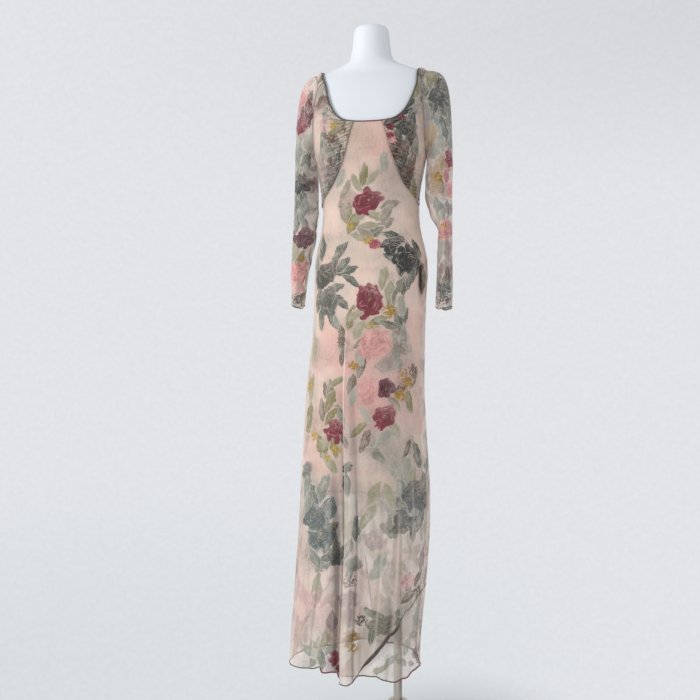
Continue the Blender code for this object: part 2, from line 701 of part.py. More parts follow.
def build():
    clear_scene()
    scene = bpy.context.scene
    home = bpy.data.collections.new(PART_NAME)
    helpers = bpy.data.collections.new("cutters")
    scene.collection.children.link(home)
    scene.collection.children.link(helpers)
    print_color = (0.62, 0.50, 0.45)

    form = add_form(home)
    add_stand(form, home, helpers)

    grid = front_middle()
    points = cloth_grid(dress_point, grid)
    add_cloth("front_panel", [inset(points, ("first", "last"))], DRESS_WALL, home, print_color)
    neck = [neck_edge(grid[-1], points[-1])]
    for name, side in (("bust_panel_left", 1), ("bust_panel_right", -1)):
        grid = bust_panel(side)
        points = cloth_grid(dress_point, grid)
        sides = ("low", "high", "first", "last")
        add_cloth(name, [inset(points, sides)], DRESS_WALL, home, print_color)
        edge = neck_edge(grid[len(BUST_SEAM) :, 0], points[len(BUST_SEAM) :, 0])
        neck = [edge[::-1], *neck] if side > 0 else [*neck, edge]
    rows = np.array(SKIRT_ROWS)
    domains = whole_piece(False, rows, slit_edges(rows)[1], BACK_COLUMNS, ARM_GROW, 0.0, 13, 0.14)
    drop = underlap_drop(domains[0][..., 0], domains[0][..., 1])
    main, left, right = worn_piece(dress_point, domains, drop)
    add_cloth("back_panel", [main, left, right], DRESS_WALL, home, print_color)
    inner = slice(STRAP_COLUMNS, -STRAP_COLUMNS)
    neck.append(neck_edge(domains[2][1:-1, 0], right[1:-1, 0])[::-1])
    neck.append(neck_edge(domains[0][-1, inner], main[-1, inner])[::-1])
    neck.append(neck_edge(domains[1][1:-1, -1], left[1:-1, -1]))

    rows = np.array(SLIP_ROWS)
    for name, front, strap_row, strap_x in (
        ("slip_front", True, 10, 0.30), ("slip_back", False, 13, 0.14)
    ):
        domains = whole_piece(front, rows, 0 * rows, SLIP_COLUMNS, 0.0052, 0.0035, strap_row,
                              strap_x)
        add_cloth(name, worn_piece(slip_point, domains), SLIP_WALL, home, (0.60, 0.45, 0.38))

    add_sleeve("sleeve_left", SLEEVE_LEFT, 1, home, print_color)
    add_sleeve("sleeve_right", SLEEVE_RIGHT, -1, home, print_color)
    binding = add_binding(np.concatenate(neck), home, (0.25, 0.24, 0.22))
    outward_faces(form)
    outward_faces(binding)
    centre_on_origin(home)


build()
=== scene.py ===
# A long printed chiffon dress on a white dress form, on its pole stand.
import bpy
import math
import numpy as np
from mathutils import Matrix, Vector


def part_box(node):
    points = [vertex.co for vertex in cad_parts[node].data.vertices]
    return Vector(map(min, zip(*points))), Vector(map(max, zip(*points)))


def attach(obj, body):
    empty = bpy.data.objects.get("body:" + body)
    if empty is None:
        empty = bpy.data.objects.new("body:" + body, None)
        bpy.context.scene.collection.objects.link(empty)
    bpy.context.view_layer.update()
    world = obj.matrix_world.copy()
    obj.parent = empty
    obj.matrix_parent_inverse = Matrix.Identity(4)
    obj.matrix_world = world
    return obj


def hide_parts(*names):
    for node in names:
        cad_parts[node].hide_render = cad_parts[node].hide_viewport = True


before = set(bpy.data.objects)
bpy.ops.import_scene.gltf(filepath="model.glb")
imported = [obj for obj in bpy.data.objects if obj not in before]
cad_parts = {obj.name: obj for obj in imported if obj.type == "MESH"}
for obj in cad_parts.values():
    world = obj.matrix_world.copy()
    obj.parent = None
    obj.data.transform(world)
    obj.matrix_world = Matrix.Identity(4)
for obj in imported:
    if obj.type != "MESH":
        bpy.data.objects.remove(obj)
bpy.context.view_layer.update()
poleLow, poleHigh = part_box("pole")
shiftX = (poleLow[0] + poleHigh[0]) / 2 - 0.070  # the tables below are measured from the form's own middle
shiftY = (poleLow[1] + poleHigh[1]) / 2
tau = 2 * math.pi


# small tools

def linearColor(hexText):  # sRGB hex to linear light
    values = [int(hexText[i:i + 2], 16) / 255 for i in (1, 3, 5)]
    return [v / 12.92 if v <= 0.04045 else ((v + 0.055) / 1.055) ** 2.4 for v in values] + [1]


def setInputs(node, inputs):  # each input takes a value, an output, or a node's first output in use
    for name, value in inputs.items():
        if isinstance(value, bpy.types.Node):
            value = next(plug for plug in value.outputs if plug.enabled)
        if isinstance(value, bpy.types.NodeSocket):
            tree.links.new(value, node.inputs[name])
        else:
            node.inputs[name].default_value = value


def addNode(kind, *values, **named):
    # one node in the current tree: the values fill its inputs in order, a name with a capital is an
    # input and any other name is a setting
    node = tree.nodes.new("ShaderNode" + kind)
    if kind == "Mix":
        node.data_type = "RGBA"
    for name in filter(str.islower, named):
        setattr(node, name, named[name])
    order = (0, 6, 7) if kind == "Mix" else range(len(values))
    setInputs(node, dict(zip(order, values)))
    setInputs(node, {name: value for name, value in named.items() if not name.islower()})
    return node


def startMaterial(name):  # a new material, its tree and its main shader
    material = bpy.data.materials.new(name)
    material.use_nodes = True
    tree = material.node_tree
    return material, tree, tree.nodes["Principled BSDF"]


def ease(value):  # 0 to 1 with soft ends: three squares less two cubes
    value = np.clip(value, 0, 1)
    return value * value * (3 - 2 * value)


def readTable(rows, column, at):  # a column at first-column values, along a cubic with no overshoot
    table = np.array(sorted(rows))
    x = table[:, 0]
    y = table[:, column]
    step = np.diff(x)
    rate = np.diff(y) / step
    slope = np.zeros(len(x))
    same = rate[:-1] * rate[1:] > 0
    with np.errstate(divide="ignore", invalid="ignore"):
        middle = 2 * rate[:-1] * rate[1:] / (rate[:-1] + rate[1:])
    slope[1:-1] = np.where(same, middle, 0)
    slope[0] = rate[0]
    slope[-1] = rate[-1]
    at = np.clip(np.asarray(at, float), x[0], x[-1])
    k = np.clip(np.searchsorted(x, at, side="right") - 1, 0, len(x) - 2)
    u = (at - x[k]) / step[k]
    rise = y[k] * (1 + 2 * u) * (1 - u) ** 2 + y[k + 1] * u * u * (3 - 2 * u)
    return rise + step[k] * u * (1 - u) * (slope[k] * (1 - u) - slope[k + 1] * u)


def smoothPath(points, count, closed=False):  # a Catmull-Rom curve through the points, evenly spaced
    points = np.array(points, float)
    if closed:
        ring = np.concatenate([points[-1:], points, points[:2]])
    else:
        ring = np.concatenate([2 * points[:1] - points[1:2], points, 2 * points[-1:] - points[-2:-1]])
    t = np.linspace(0, 1, 24, endpoint=False)[None, :, None]
    a, b, c, d = (ring[i:len(ring) - 3 + i, None] for i in range(4))
    fine = 2 * b + (c - a) * t + (2 * a - 5 * b + 4 * c - d) * t ** 2 + (3 * b - a - 3 * c + d) * t ** 3
    fine = np.concatenate([fine.reshape(-1, points.shape[1]) / 2, ring[-2:-1]])
    place = np.concatenate([[0], np.cumsum(np.linalg.norm(np.diff(fine, axis=0), axis=1))])
    at = np.linspace(0, place[-1], count + 1)[:-1] if closed else np.linspace(0, place[-1], count)
    return np.stack([np.interp(at, place, fine[:, k]) for k in range(points.shape[1])], 1)


def unit(vectors):  # each vector at length 1
    return vectors / np.maximum(np.linalg.norm(vectors, axis=-1, keepdims=True), 1e-12)


def gridNormals(points, closed=False):  # unit normals of a grid of points, columns across rows
    if closed:
        across = np.roll(points, -1, 1) - np.roll(points, 1, 1)
    else:
        across = np.gradient(points, axis=1)
    return unit(np.cross(across, np.gradient(points, axis=0)))


def gridFaces(rows, columns, closed=False, looped=False):
    # four-cornered faces; closed joins the last column to the first, looped the last row to the first
    r, c = np.meshgrid(np.arange(rows - (not looped)), np.arange(columns - (not closed)), indexing="ij")
    nextRow = (r + 1) % rows * columns
    nextColumn = (c + 1) % columns
    corners = [r * columns + c, r * columns + nextColumn, nextRow + nextColumn, nextRow + c]
    return np.stack(corners, -1).reshape(-1, 4)


def makeMesh(name, node, material, points, faces, rims=None, bend=None):
    # a smooth mesh; rims gives a rim's number to each point on it and 0 to the others, and edges along a rim
    # are sharp, as are all that turn by more than bend in degrees
    mesh = bpy.data.meshes.new(name)
    points = np.asarray(points, np.float32) + np.array([shiftX, shiftY, 0], np.float32)
    mesh.from_pydata(points.tolist(), [], faces)
    mesh.polygons.foreach_set("use_smooth", np.ones(len(faces), bool))
    if rims is not None:
        ends = np.empty(len(mesh.edges) * 2, np.int32)
        mesh.edges.foreach_get("vertices", ends)
        ends = rims[ends.reshape(-1, 2)]
        mesh.edges.foreach_set("use_edge_sharp", (ends[:, 0] == ends[:, 1]) & (ends[:, 0] > 0))
    if bend:
        mesh.set_sharp_from_angle(angle=math.radians(bend))
    mesh.materials.append(material)
    piece = bpy.data.objects.new(name, mesh)
    bpy.context.scene.collection.objects.link(piece)
    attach(piece, "root")
    if node:
        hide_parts(node)
    return piece


def makeShell(name, node, material, grids, thickness, closed=False, marks=None):
    # each grid of points becomes two walls, half a thickness out and in, joined round its rim
    points, faces, rims, total = [], [], [], 0
    for grid in grids:
        rows, columns = grid.shape[:2]
        count = rows * columns
        half = gridNormals(grid, closed) * thickness / 2
        points += [(grid + half).reshape(-1, 3), (grid - half).reshape(-1, 3)]
        front = gridFaces(rows, columns, closed) + total
        faces += [front, front[:, ::-1] + count]
        index = np.arange(count).reshape(rows, columns) + total
        edge = np.zeros((rows, columns), int)
        edge[[0, -1]] = 1
        if closed:
            rings = [np.append(index[0], index[0, 0]), np.append(index[-1], index[-1, 0])[::-1]]
        else:
            rings = [np.concatenate([index[0], index[1:, -1], index[-1, -2::-1], index[-2::-1, 0]])]
            edge[:, [0, -1]] = 1
        for ring in rings:
            faces.append(np.stack([ring[1:], ring[:-1], ring[:-1] + count, ring[1:] + count], 1))
        rims += [edge.ravel(), edge.ravel() * 2]
        total += 2 * count
    piece = makeMesh(name, node, material, np.concatenate(points), np.concatenate(faces).tolist(),
                     np.concatenate(rims))
    for mark, values in (marks or {}).items():  # values are per grid, and both walls share them
        both = np.concatenate([np.concatenate([v, v]) for v in values]).astype(np.float32)
        kind, key = ("FLOAT_COLOR", "color") if mark.endswith("Tint") else ("FLOAT_VECTOR", "vector")
        piece.data.attributes.new(mark, kind, "POINT").data.foreach_set(key, both.ravel())
    return piece


def makeCapped(name, node, material, rings, low, high, bend=None):
    # rings of points joined one to the next, with a fan of triangles to a point at each end
    rows, columns = rings.shape[:2]
    ring = np.arange(columns)
    following = np.roll(ring, -1)
    last = (rows - 1) * columns
    end = np.full(columns, rows * columns)
    faces = gridFaces(rows, columns, True).tolist() + np.stack([following, ring, end], 1).tolist()
    faces += np.stack([ring + last, following + last, end + 1], 1).tolist()
    points = np.concatenate([rings.reshape(-1, 3), [low, high]])
    return makeMesh(name, node, material, points, faces, bend=bend)


def makeTube(name, edge, path, outward, wide, thick, sides=8, looped=False, node=None):
    # an oval section carried along a path, wide across the cloth and thick along its outward side
    material = edgeMaterials[edge]
    if looped:
        tangent = unit(np.roll(path, -1, 0) - np.roll(path, 1, 0))
    else:
        tangent = unit(np.gradient(path, axis=0))
    outward = unit(outward - (outward * tangent).sum(1, keepdims=True) * tangent)
    turn = np.linspace(0, tau, sides, endpoint=False)[:, None]
    wide = np.cross(outward, tangent) * np.broadcast_to(wide, len(path))[:, None]
    thick = outward * np.broadcast_to(thick, len(path))[:, None]
    rings = path[:, None] + wide[:, None] * np.cos(turn) + thick[:, None] * np.sin(turn)
    if looped:
        faces = gridFaces(len(path), sides, True, True).tolist()
        return makeMesh(name, node, material, rings.reshape(-1, 3), faces)
    return makeCapped(name, node, material, rings, path[0], path[-1])


def makeLathe(name, node, profile, sides=96):  # a profile of radius and height turned round the pole's middle
    turn = np.linspace(0, tau, sides, endpoint=False)
    radius, height = np.transpose(profile)[..., None]
    middleX = stand["poleX"]
    rings = np.stack([middleX + radius * np.cos(turn), radius * np.sin(turn), height + 0 * turn], -1)
    low, high = (middleX, 0, profile[0][1]), (middleX, 0, profile[-1][1])
    return makeCapped(name, node, standMaterial, rings[1:-1], low, high, 40)


# shapes that the form and the dress share

formRows = (  # height, half width, front, back, middle y, roundness
    (0.9, 0.099, 0.066, 0.074, 0.003, 2.2), (0.906, 0.108, 0.074, 0.083, 0.003, 2.2),
    (0.93, 0.115, 0.08, 0.09, 0.003, 2.2), (1.0, 0.1225, 0.086, 0.097, 0.003, 2.2),
    (1.08, 0.1305, 0.0905, 0.101, 0.003, 2.2), (1.14, 0.137, 0.0935, 0.105, 0.004, 2.2),
    (1.187, 0.1415, 0.095, 0.108, 0.004, 2.2), (1.226, 0.14, 0.095, 0.105, 0.004, 2.2),
    (1.255, 0.135, 0.093, 0.0985, 0.004, 2.2), (1.288, 0.1268, 0.089, 0.0895, 0.003, 2.2),
    (1.32, 0.1213, 0.086, 0.083, 0.002, 2.2), (1.35, 0.1196, 0.085, 0.0805, 0.001, 2.2),
    (1.385, 0.1204, 0.086, 0.0815, 0.0, 2.2), (1.415, 0.124, 0.0905, 0.0845, 0.0, 2.2),
    (1.445, 0.1298, 0.0985, 0.0885, 0.0, 2.2), (1.485, 0.1372, 0.11, 0.094, 0.0, 2.3),
    (1.525, 0.144, 0.115, 0.0975, 0.001, 2.4), (1.565, 0.15, 0.1085, 0.0985, 0.002, 2.6),
    (1.61, 0.1555, 0.0925, 0.0965, 0.004, 2.8), (1.65, 0.1592, 0.0775, 0.088, 0.006, 2.6),
    (1.68, 0.16, 0.0645, 0.075, 0.008, 2.3), (1.697, 0.158, 0.055, 0.0635, 0.009, 2.1),
    (1.706, 0.152, 0.0495, 0.056, 0.01, 2.0), (1.7125, 0.143, 0.0465, 0.0525, 0.01, 1.9),
    (1.719, 0.1265, 0.0455, 0.051, 0.01, 1.8), (1.727, 0.104, 0.0465, 0.052, 0.01, 1.8),
    (1.737, 0.077, 0.0485, 0.0535, 0.01, 1.9), (1.75, 0.058, 0.0495, 0.0545, 0.01, 2.0),
    (1.77, 0.0515, 0.0485, 0.0525, 0.01, 2.0), (1.8, 0.0475, 0.0465, 0.0495, 0.009, 2.0),
    (1.825, 0.045, 0.0445, 0.047, 0.009, 2.0), (1.8325, 0.04, 0.0395, 0.042, 0.009, 2.0),
    (1.836, 0.027, 0.0265, 0.0285, 0.009, 2.0),
)
skirtRows = (  # height, half width, front, back, shift x, shift y
    (0.187, 0.167, 0.121, 0.122, -0.04, -0.02), (0.241, 0.1665, 0.12, 0.122, -0.0387, -0.018),
    (0.345, 0.1675, 0.118, 0.122, -0.0304, -0.016), (0.449, 0.169, 0.116, 0.122, -0.0227, -0.013),
    (0.553, 0.1688, 0.114, 0.121, -0.0166, -0.01), (0.657, 0.166, 0.112, 0.12, -0.0151, -0.008),
    (0.761, 0.1598, 0.11, 0.119, -0.0154, -0.006), (0.865, 0.1545, 0.108, 0.119, -0.0155, -0.004),
    (0.956, 0.15, 0.106, 0.119, -0.0115, -0.002), (1.047, 0.1462, 0.103, 0.118, -0.0059, 0.001),
    (1.125, 0.1456, 0.101, 0.116, -0.003, 0.003), (1.187, 0.147, 0.1002, 0.1137, -0.001, 0.004),
)
# folds of the skirt: angle at the hem (front at -90), half angle, out at the hem, the height where
# the fold begins, degrees that it leans per metre of height, how much steeper its lower-angle side is
foldRows = (
    (-94.5, 8.0, 0.0230, 1.08, -19.5, 2.0),
    (-109, 8.0, -0.0110, 0.84, -16, 0.6),
    (-75, 6.5, -0.0065, 0.90, -26, 1.0),
    (-150, 12.0, 0.0080, 0.90, 4, 0.0),
    (-128, 6.0, 0.0040, 0.60, 6, 0.0),
    (-58, 8.0, 0.0050, 0.62, 8, 0.5),
    (-43, 4.5, 0.0055, 0.74, 3, 0.8),
    (-28, 4.0, 0.0045, 0.72, 2, 0.8),
    (-12, 7.0, -0.0030, 0.60, 0, 0.0),
    (38, 15.0, 0.0100, 0.90, -6, 0.3),
    (62, 7.0, -0.0040, 0.70, 4, 0.0),
    (88, 14.0, 0.0100, 0.95, 5, 0.6),
    (113, 6.0, 0.0045, 0.66, -8, 0.0),
    (138, 13.0, 0.0090, 0.90, 6, 0.4),
    (163, 6.0, -0.0035, 0.60, 0, 0.0),
)
slitRows = (  # height, the front's free edge, the back's edge under it
    (0.187, -79, -104), (0.241, -62, -86), (0.308, -41, -63), (0.347, -31, -50), (0.378, -18, -33),
    (0.4, 0, 0),
)
# sizes of the cut in metres
cut = {"bodiceShift": 0.007, "waist": 1.360, "hem": 0.187, "slipHem": 0.640, "tuck": 0.015,
       "armTop": 1.7115, "armBottom": 1.490, "armHalfAngle": math.radians(25)}
neckFront = (  # x and height, from the shoulder to the middle
    (0.127, 1.7195), (0.124, 1.708), (0.12, 1.686), (0.114, 1.658), (0.1065, 1.63), (0.0965, 1.604),
    (0.0835, 1.582), (0.064, 1.566), (0.035, 1.559), (0.0, 1.5575),
)
neckBack = (
    (0.127, 1.7195), (0.1235, 1.71), (0.115, 1.694), (0.098, 1.672), (0.072, 1.656), (0.036, 1.648),
    (0.0, 1.646),
)
bustSeam = (  # from the side seam up to the neckline
    (0.119, 1.366), (0.111, 1.383), (0.099, 1.398), (0.084, 1.418), (0.07, 1.448), (0.061, 1.47),
    (0.054, 1.49), (0.047, 1.518), (0.041, 1.54), (0.035, 1.559),
)


def ovalRadius(angle, width, front, back, power):
    # how far an oval reaches in a direction: there its shares of both half sizes, to the power, add up to 1
    across = np.abs(np.cos(angle)) / width
    along = np.abs(np.sin(angle)) / np.where(np.sin(angle) < 0, front, back)
    return (across ** power + along ** power) ** (-1 / power)


def bodyPoint(height, angle):  # the form's surface
    width, front, back, middle, power = (readTable(formRows, c, height) for c in range(1, 6))
    radius = ovalRadius(angle, width, front, back, power)
    return np.stack([radius * np.cos(angle), middle + radius * np.sin(angle), height + 0 * angle], -1)


def besideFold(height, angle, where, lean):  # degrees round from the middle line of a fold, which leans
    return (np.degrees(angle) - (where + lean * (height - cut["hem"])) + 180) % 360 - 180


def foldOut(height, angle):  # each fold grows from nothing at its start to its full depth at the hem
    total = np.zeros(np.broadcast(height, angle).shape)
    for where, half, out, starts, lean, steep in foldRows:
        phase = besideFold(height, angle, where, lean) / half
        phase = np.where(phase < 0, phase * (1 + steep), phase)
        growth = ease((starts - height) / (starts - cut["hem"])) ** 0.75
        total = total + out * growth * ease(1.5 - np.abs(phase))
    return total


def skirtPoint(height, angle, folds, inside):  # the hanging skirt: an oval that drifts to one side
    width, front, back, middleX, middleY = (readTable(skirtRows, c, height) for c in range(1, 6))
    radius = ovalRadius(angle, width, front, back, 2.15) + folds * foldOut(height, angle) - inside
    x = middleX + radius * np.cos(angle)
    return np.stack([x, middleY + radius * np.sin(angle), height + 0 * angle], -1)


def foldMark(height, angle):  # painted shade: up to 1.3 in the valleys beside outward folds and along inward ones, or 0
    total = np.zeros(np.broadcast(height, angle).shape)
    for where, half, out, starts, lean, steep in foldRows:
        apart = besideFold(height, angle, where, lean)
        growth = ease((starts - 0.10 - height) / 0.45) * (min(1.3, out / 0.0085) if out > 0 else 1)
        wide = float(np.clip(half * 0.36, 1.2, 2.8))
        if out > 0:
            foot = 1.5 * half / (1 + steep)
            left = np.exp(-((apart + foot + 0.8 * wide) / wide) ** 2)
            right = np.exp(-((apart - 1.35 * half) / (0.6 * wide)) ** 2)
            feet = 0.95 * left + 0.75 * right
        else:
            feet = 70 * abs(out) * np.exp(-(apart / wide) ** 2)
        total = np.maximum(total, growth * feet)
    return total


valley = {"starts": 0.76, "full": 0.52, "depth": 1.25, "centre": -11.5, "slope": -14.0, "half": 4.2}


def valleyMark(height, angle):  # the broad shaded side of the long front fold
    where, half, out, starts, lean, steep = foldRows[0]
    apart = besideFold(height, angle, where, lean)
    grows = ease((valley["starts"] - height) / (valley["starts"] - valley["full"]))
    middle = valley["centre"] + valley["slope"] * (height - 0.25)
    return valley["depth"] * grows * np.exp(-((apart - middle) / valley["half"]) ** 4)


def foldLight(height, angle):  # the lit edge where an outward fold turns over
    total = np.zeros(np.broadcast(height, angle).shape)
    for where, half, out, starts, lean, steep in foldRows:
        if out > 0 and steep >= 0.5:
            apart = besideFold(height, angle, where, lean)
            edge = np.exp(-((apart + 0.75 * half / (1 + steep)) / 0.9) ** 2)
            total = np.maximum(total, min(1, out / 0.012) * ease((starts - height) / 0.10) * edge)
            crest = 0.42 * ease((out - 0.012) / 0.005) * ease((starts - 0.1 - height) / 0.4)
            total = np.maximum(total, crest * np.exp(-((apart - 1.5) / 5.5) ** 4))
    return total


def surfaceNormals(place, height, angle):  # outward sides of a surface: across its small steps round and up
    step = 2e-4
    up = place(height + step, angle) - place(height - step, angle)
    around = place(height, angle + step) - place(height, angle - step)
    return unit(np.cross(around, up))


def wornPoint(height, angle, lift, folds, inside):
    # lifted off the form above the hips, hanging free below, and an eased blend of both between them
    height, angle, lift = np.broadcast_arrays(np.asarray(height, float), angle, lift)
    low = np.clip(height, 1.10, 1.79)
    worn = bodyPoint(low, angle) + surfaceNormals(bodyPoint, low, angle) * lift[..., None]
    worn[..., 2] += np.minimum(height - 1.10, 0)
    hung = skirtPoint(height, angle, folds, inside)
    share = ease((height - 1.14) / 0.09)[..., None]
    return worn * share + hung * (1 - share)


def dressPoint(height, angle, tuck=0.0):  # 5.2 mm off the form, closer at the shoulder, with all its folds
    lift = 0.0052 - 0.0010 * ease((height - 1.60) / 0.09)
    return wornPoint(height, angle, lift, 1 - tuck / cut["tuck"], tuck)


def slipPoint(height, angle):  # 2.1 mm off the form, under the dress, with half its folds
    lift = 0.0021 - 0.0008 * ease((height - 1.60) / 0.09)
    return wornPoint(height, angle, lift, 0.55, 0.0036 + 0.011 * ease((1.20 - height) / 0.45))


def angleAt(height, x, front):  # the direction in which the form's surface meets an x
    width, ahead, behind, _, power = (readTable(formRows, c, height) for c in range(1, 6))
    share = np.clip(np.abs(x) / width, 0, 1)
    y = np.where(front, ahead, behind) * (1 - share ** power) ** (1 / power)
    return np.arctan2(np.where(front, -y, y), x)


def neckCurve(rows, front, count):  # heights and angles along a neckline, from the left shoulder over
    path = np.array(rows)
    path = np.concatenate([path, path[-2::-1] * [-1, 1]])
    path = smoothPath(path, count)
    level = 1 - ease((path[:, 1] - 1.66) / 0.05)
    angle = angleAt(path[:, 1], path[:, 0] + cut["bodiceShift"] * level * front, front)
    angle[0] = 0
    angle[-1] = -math.pi if front else math.pi
    return np.stack([path[:, 1], angle], 1)


def seamCurve(side, count):  # up the bust seam, side 1 on the wearer's left
    path = smoothPath(bustSeam, count)
    shift = cut["bodiceShift"] * ease((path[:, 1] - 1.37) / 0.12)
    return np.stack([path[:, 1], angleAt(path[:, 1], side * path[:, 0] + shift, True)], 1)


def sideCurve(sideCount, armCount):  # waist, side seam and armhole, as heights and angles off the side
    turn = math.pi * (1 - np.linspace(0, 1, armCount) ** 0.9)
    middle = (cut["armTop"] + cut["armBottom"]) / 2
    half = (cut["armTop"] - cut["armBottom"]) / 2
    low = np.linspace(cut["waist"], middle - half, sideCount, endpoint=False)
    height = np.concatenate([low, middle + half * np.cos(turn)])
    angle = np.concatenate([0 * low, cut["armHalfAngle"] * np.sin(turn)])
    return height, angle


def fillOutline(bottom, top, left, right, across):  # blends the four sides of an outline over a grid
    v = ((left[:, 0] - left[0, 0]) / (left[-1, 0] - left[0, 0]))[:, None, None]
    u = across[None, :, None]
    flat = (1 - v) * bottom[None] + v * top[None]
    level = (1 - u) * left[:, None] + u * right[:, None]
    corners = (1 - v) * ((1 - u) * bottom[0] + u * bottom[-1]) + v * ((1 - u) * top[0] + u * top[-1])
    return flat + level - corners


def slitAngles(height):  # the front's free edge and the back's edge under it
    heights, *edges = np.transpose(slitRows)
    return [np.radians(np.interp(height, heights, edge)) for edge in edges]


# materials

# moulded glass-fibre form, sprayed matt white: an even soft white with a faint cool cast, tiny dimples
formMaterial, tree, shader = startMaterial("mattWhiteForm")
spot = addNode("TexCoord").outputs
dimples = addNode("TexNoise", spot["Object"], Scale=420.0, Detail=3.0)
patches = addNode("TexNoise", spot["Object"], Scale=7.0, Detail=2.0)
tone = addNode("Mix", patches, linearColor("#E0E4E8"), linearColor("#D9DDE2"))
dent = addNode("Bump", Height=dimples, Strength=0.06, Distance=0.0004)
setInputs(shader, {"Base Color": tone, "Normal": dent, "Roughness": 0.55})

# brushed stainless tube and plate: fine scratches round the tube, warm grey reflections
standMaterial, tree, shader = startMaterial("brushedStandSteel")
spot = addNode("TexCoord").outputs
stretch = addNode("Mapping", Vector=spot["Object"], Scale=(60.0, 60.0, 1400.0))
scratches = addNode("TexNoise", stretch, Scale=1.0, Detail=4.0)
shine = addNode("MapRange", scratches, 0.0, 1.0, 0.24, 0.42)
tone = addNode("Mix", scratches, linearColor("#B4ACA1"), linearColor("#CEC7BD"))
dent = addNode("Bump", Height=scratches, Strength=0.08, Distance=0.0003)
setInputs(shader, {"Base Color": tone, "Roughness": shine, "Normal": dent, "Metallic": 1.0})

# polyester slip lining, skin coloured: opaque, smooth, a soft satin glow along the folds
liningMaterial, tree, shader = startMaterial("skinToneLining")
spot = addNode("TexCoord").outputs
streak = addNode("Mapping", Vector=spot["Object"], Scale=(90.0, 90.0, 9.0))
streaks = addNode("TexNoise", streak, Scale=1.0, Detail=3.0)
tone = addNode("Mix", streaks, linearColor("#E4C9B9"), linearColor("#EBD3C5"))
dent = addNode("Bump", Height=streaks, Strength=0.15, Distance=0.001)
rise = addNode("SeparateXYZ", spot["Object"]).outputs  # the turned hem shows darker through the chiffon
turned = addNode("MapRange", rise["Z"], cut["slipHem"] + 0.0025, cut["slipHem"] + 0.0045, 1.0, 0.0)
tone = addNode("Mix", turned, tone, linearColor("#6F5A4E"))
setInputs(shader, {"Base Color": tone, "Normal": dent, "Roughness": 0.6, "Sheen Weight": 0.1})

# turned and stitched edge of the print: several layers rolled tight, so dark and almost opaque
edgeColors = {"greenEdge": ("#434740", "#66675C"), "wineEdge": ("#6B2F42", "#96566A"),
              "bandEdge": ("#3B302D", "#6B5A50"), "seamEdge": ("#7D6558", "#A38A78")}
edgeMaterials = {}
for name, (dark, light) in edgeColors.items():
    edgeMaterials[name], tree, shader = startMaterial(name)
    spot = addNode("TexCoord").outputs
    mottle = addNode("TexNoise", spot["Object"], Scale=70.0, Detail=2.0)
    tone = addNode("Mix", mottle, linearColor(dark), linearColor(light))
    stitch = addNode("TexNoise", spot["Object"], Scale=900.0, Detail=1.0)
    dent = addNode("Bump", Height=stitch, Strength=0.3, Distance=0.0005)
    setInputs(shader, {"Base Color": tone, "Normal": dent, "Roughness": 0.8})

# printed silk chiffon: sheer, with watery edges to the print; the flowers hold more dye and show less through
chiffon = {
    "groundAlpha": 0.35, "printAlpha": 0.61, "roughness": 0.75,
    "ground": ((0.30, "#CCCABD"), (0.40, "#EADDD0"), (0.50, "#F8E4D8"), (0.60, "#F6D6C8"), (0.72, "#E8D0CB")),
    # petal rounds: reach, half the number of lobes, turn, shift to one side, width of the shading
    "petals": ((0.98, 3.5, 0.3, 0.00, 0.36), (0.74, 2.5, 1.3, 0.05, 0.30), (0.50, 2.5, 2.2, 0.09, 0.24),
               (0.26, 2.0, 0.7, 0.12, 0.18)),
}
chiffonMaterial, tree, shader = startMaterial("printedChiffon")
spot = addNode("TexCoord").outputs
wash = addNode("TexNoise", spot["Object"], Scale=8.0, Detail=3.0, Roughness=0.55)
ground = addNode("ValToRGB", wash)
for place, text in chiffon["ground"]:
    stop = ground.color_ramp.elements.new(place)
    stop.color = linearColor(text)
ground.color_ramp.elements.remove(ground.color_ramp.elements[0])
ground.color_ramp.elements.remove(ground.color_ramp.elements[-1])

# pencil-thin petal outlines and soft grey-green clouds in the ground, about 30 mm across
bend = addNode("TexNoise", spot["Object"], Scale=22.0, Detail=1.0)
bent = addNode("VectorMath", bend.outputs["Color"], (0.045, 0.045, 0.045), spot["Object"],
               operation="MULTIPLY_ADD")
outline = addNode("TexVoronoi", bent, Scale=30.0, feature="DISTANCE_TO_EDGE")
line = addNode("MapRange", outline, 0.01, 0.045, 1.0, 0.0)
clouds = addNode("TexNoise", spot["Object"], Scale=12.0, Detail=2.0, Roughness=0.5)
cloud = addNode("MapRange", clouds, 0.50, 0.66, interpolation_type="SMOOTHSTEP")
drawn = addNode("Math", line, 0.28, 0.24, operation="MULTIPLY_ADD")
drawnSoft = addNode("Math", cloud, drawn, operation="MULTIPLY")
patch = addNode("Attribute", attribute_name="washTint")
patchEdge = addNode("MapRange", wash, 0.35, 0.60, 0.55, 1.0)
patchShare = addNode("Math", patch.outputs["Alpha"], patchEdge, operation="MULTIPLY")
washed = addNode("Mix", patchShare, ground, patch)
paint = addNode("Mix", drawnSoft, washed, linearColor("#9C9389"))
covered = addNode("Math", drawnSoft, 0.35, operation="MULTIPLY")

ragged = addNode("TexNoise", spot["Object"], Scale=85.0, Detail=3.0)
raggedShift = addNode("VectorMath", ragged.outputs["Color"], (0.5, 0.5, 0.5), operation="SUBTRACT")
loose = addNode("TexNoise", spot["Object"], Scale=26.0, Detail=1.0)
looseShift = addNode("VectorMath", loose.outputs["Color"], (0.5, 0.5, 0.5), operation="SUBTRACT")
drift = addNode("VectorMath", looseShift, (1.5, 1.5, 0.0), raggedShift, operation="MULTIPLY_ADD")
inks = addNode("TexNoise", spot["Object"], Scale=120.0, Detail=3.0)
pools = addNode("TexNoise", spot["Object"], Scale=45.0, Detail=2.0)


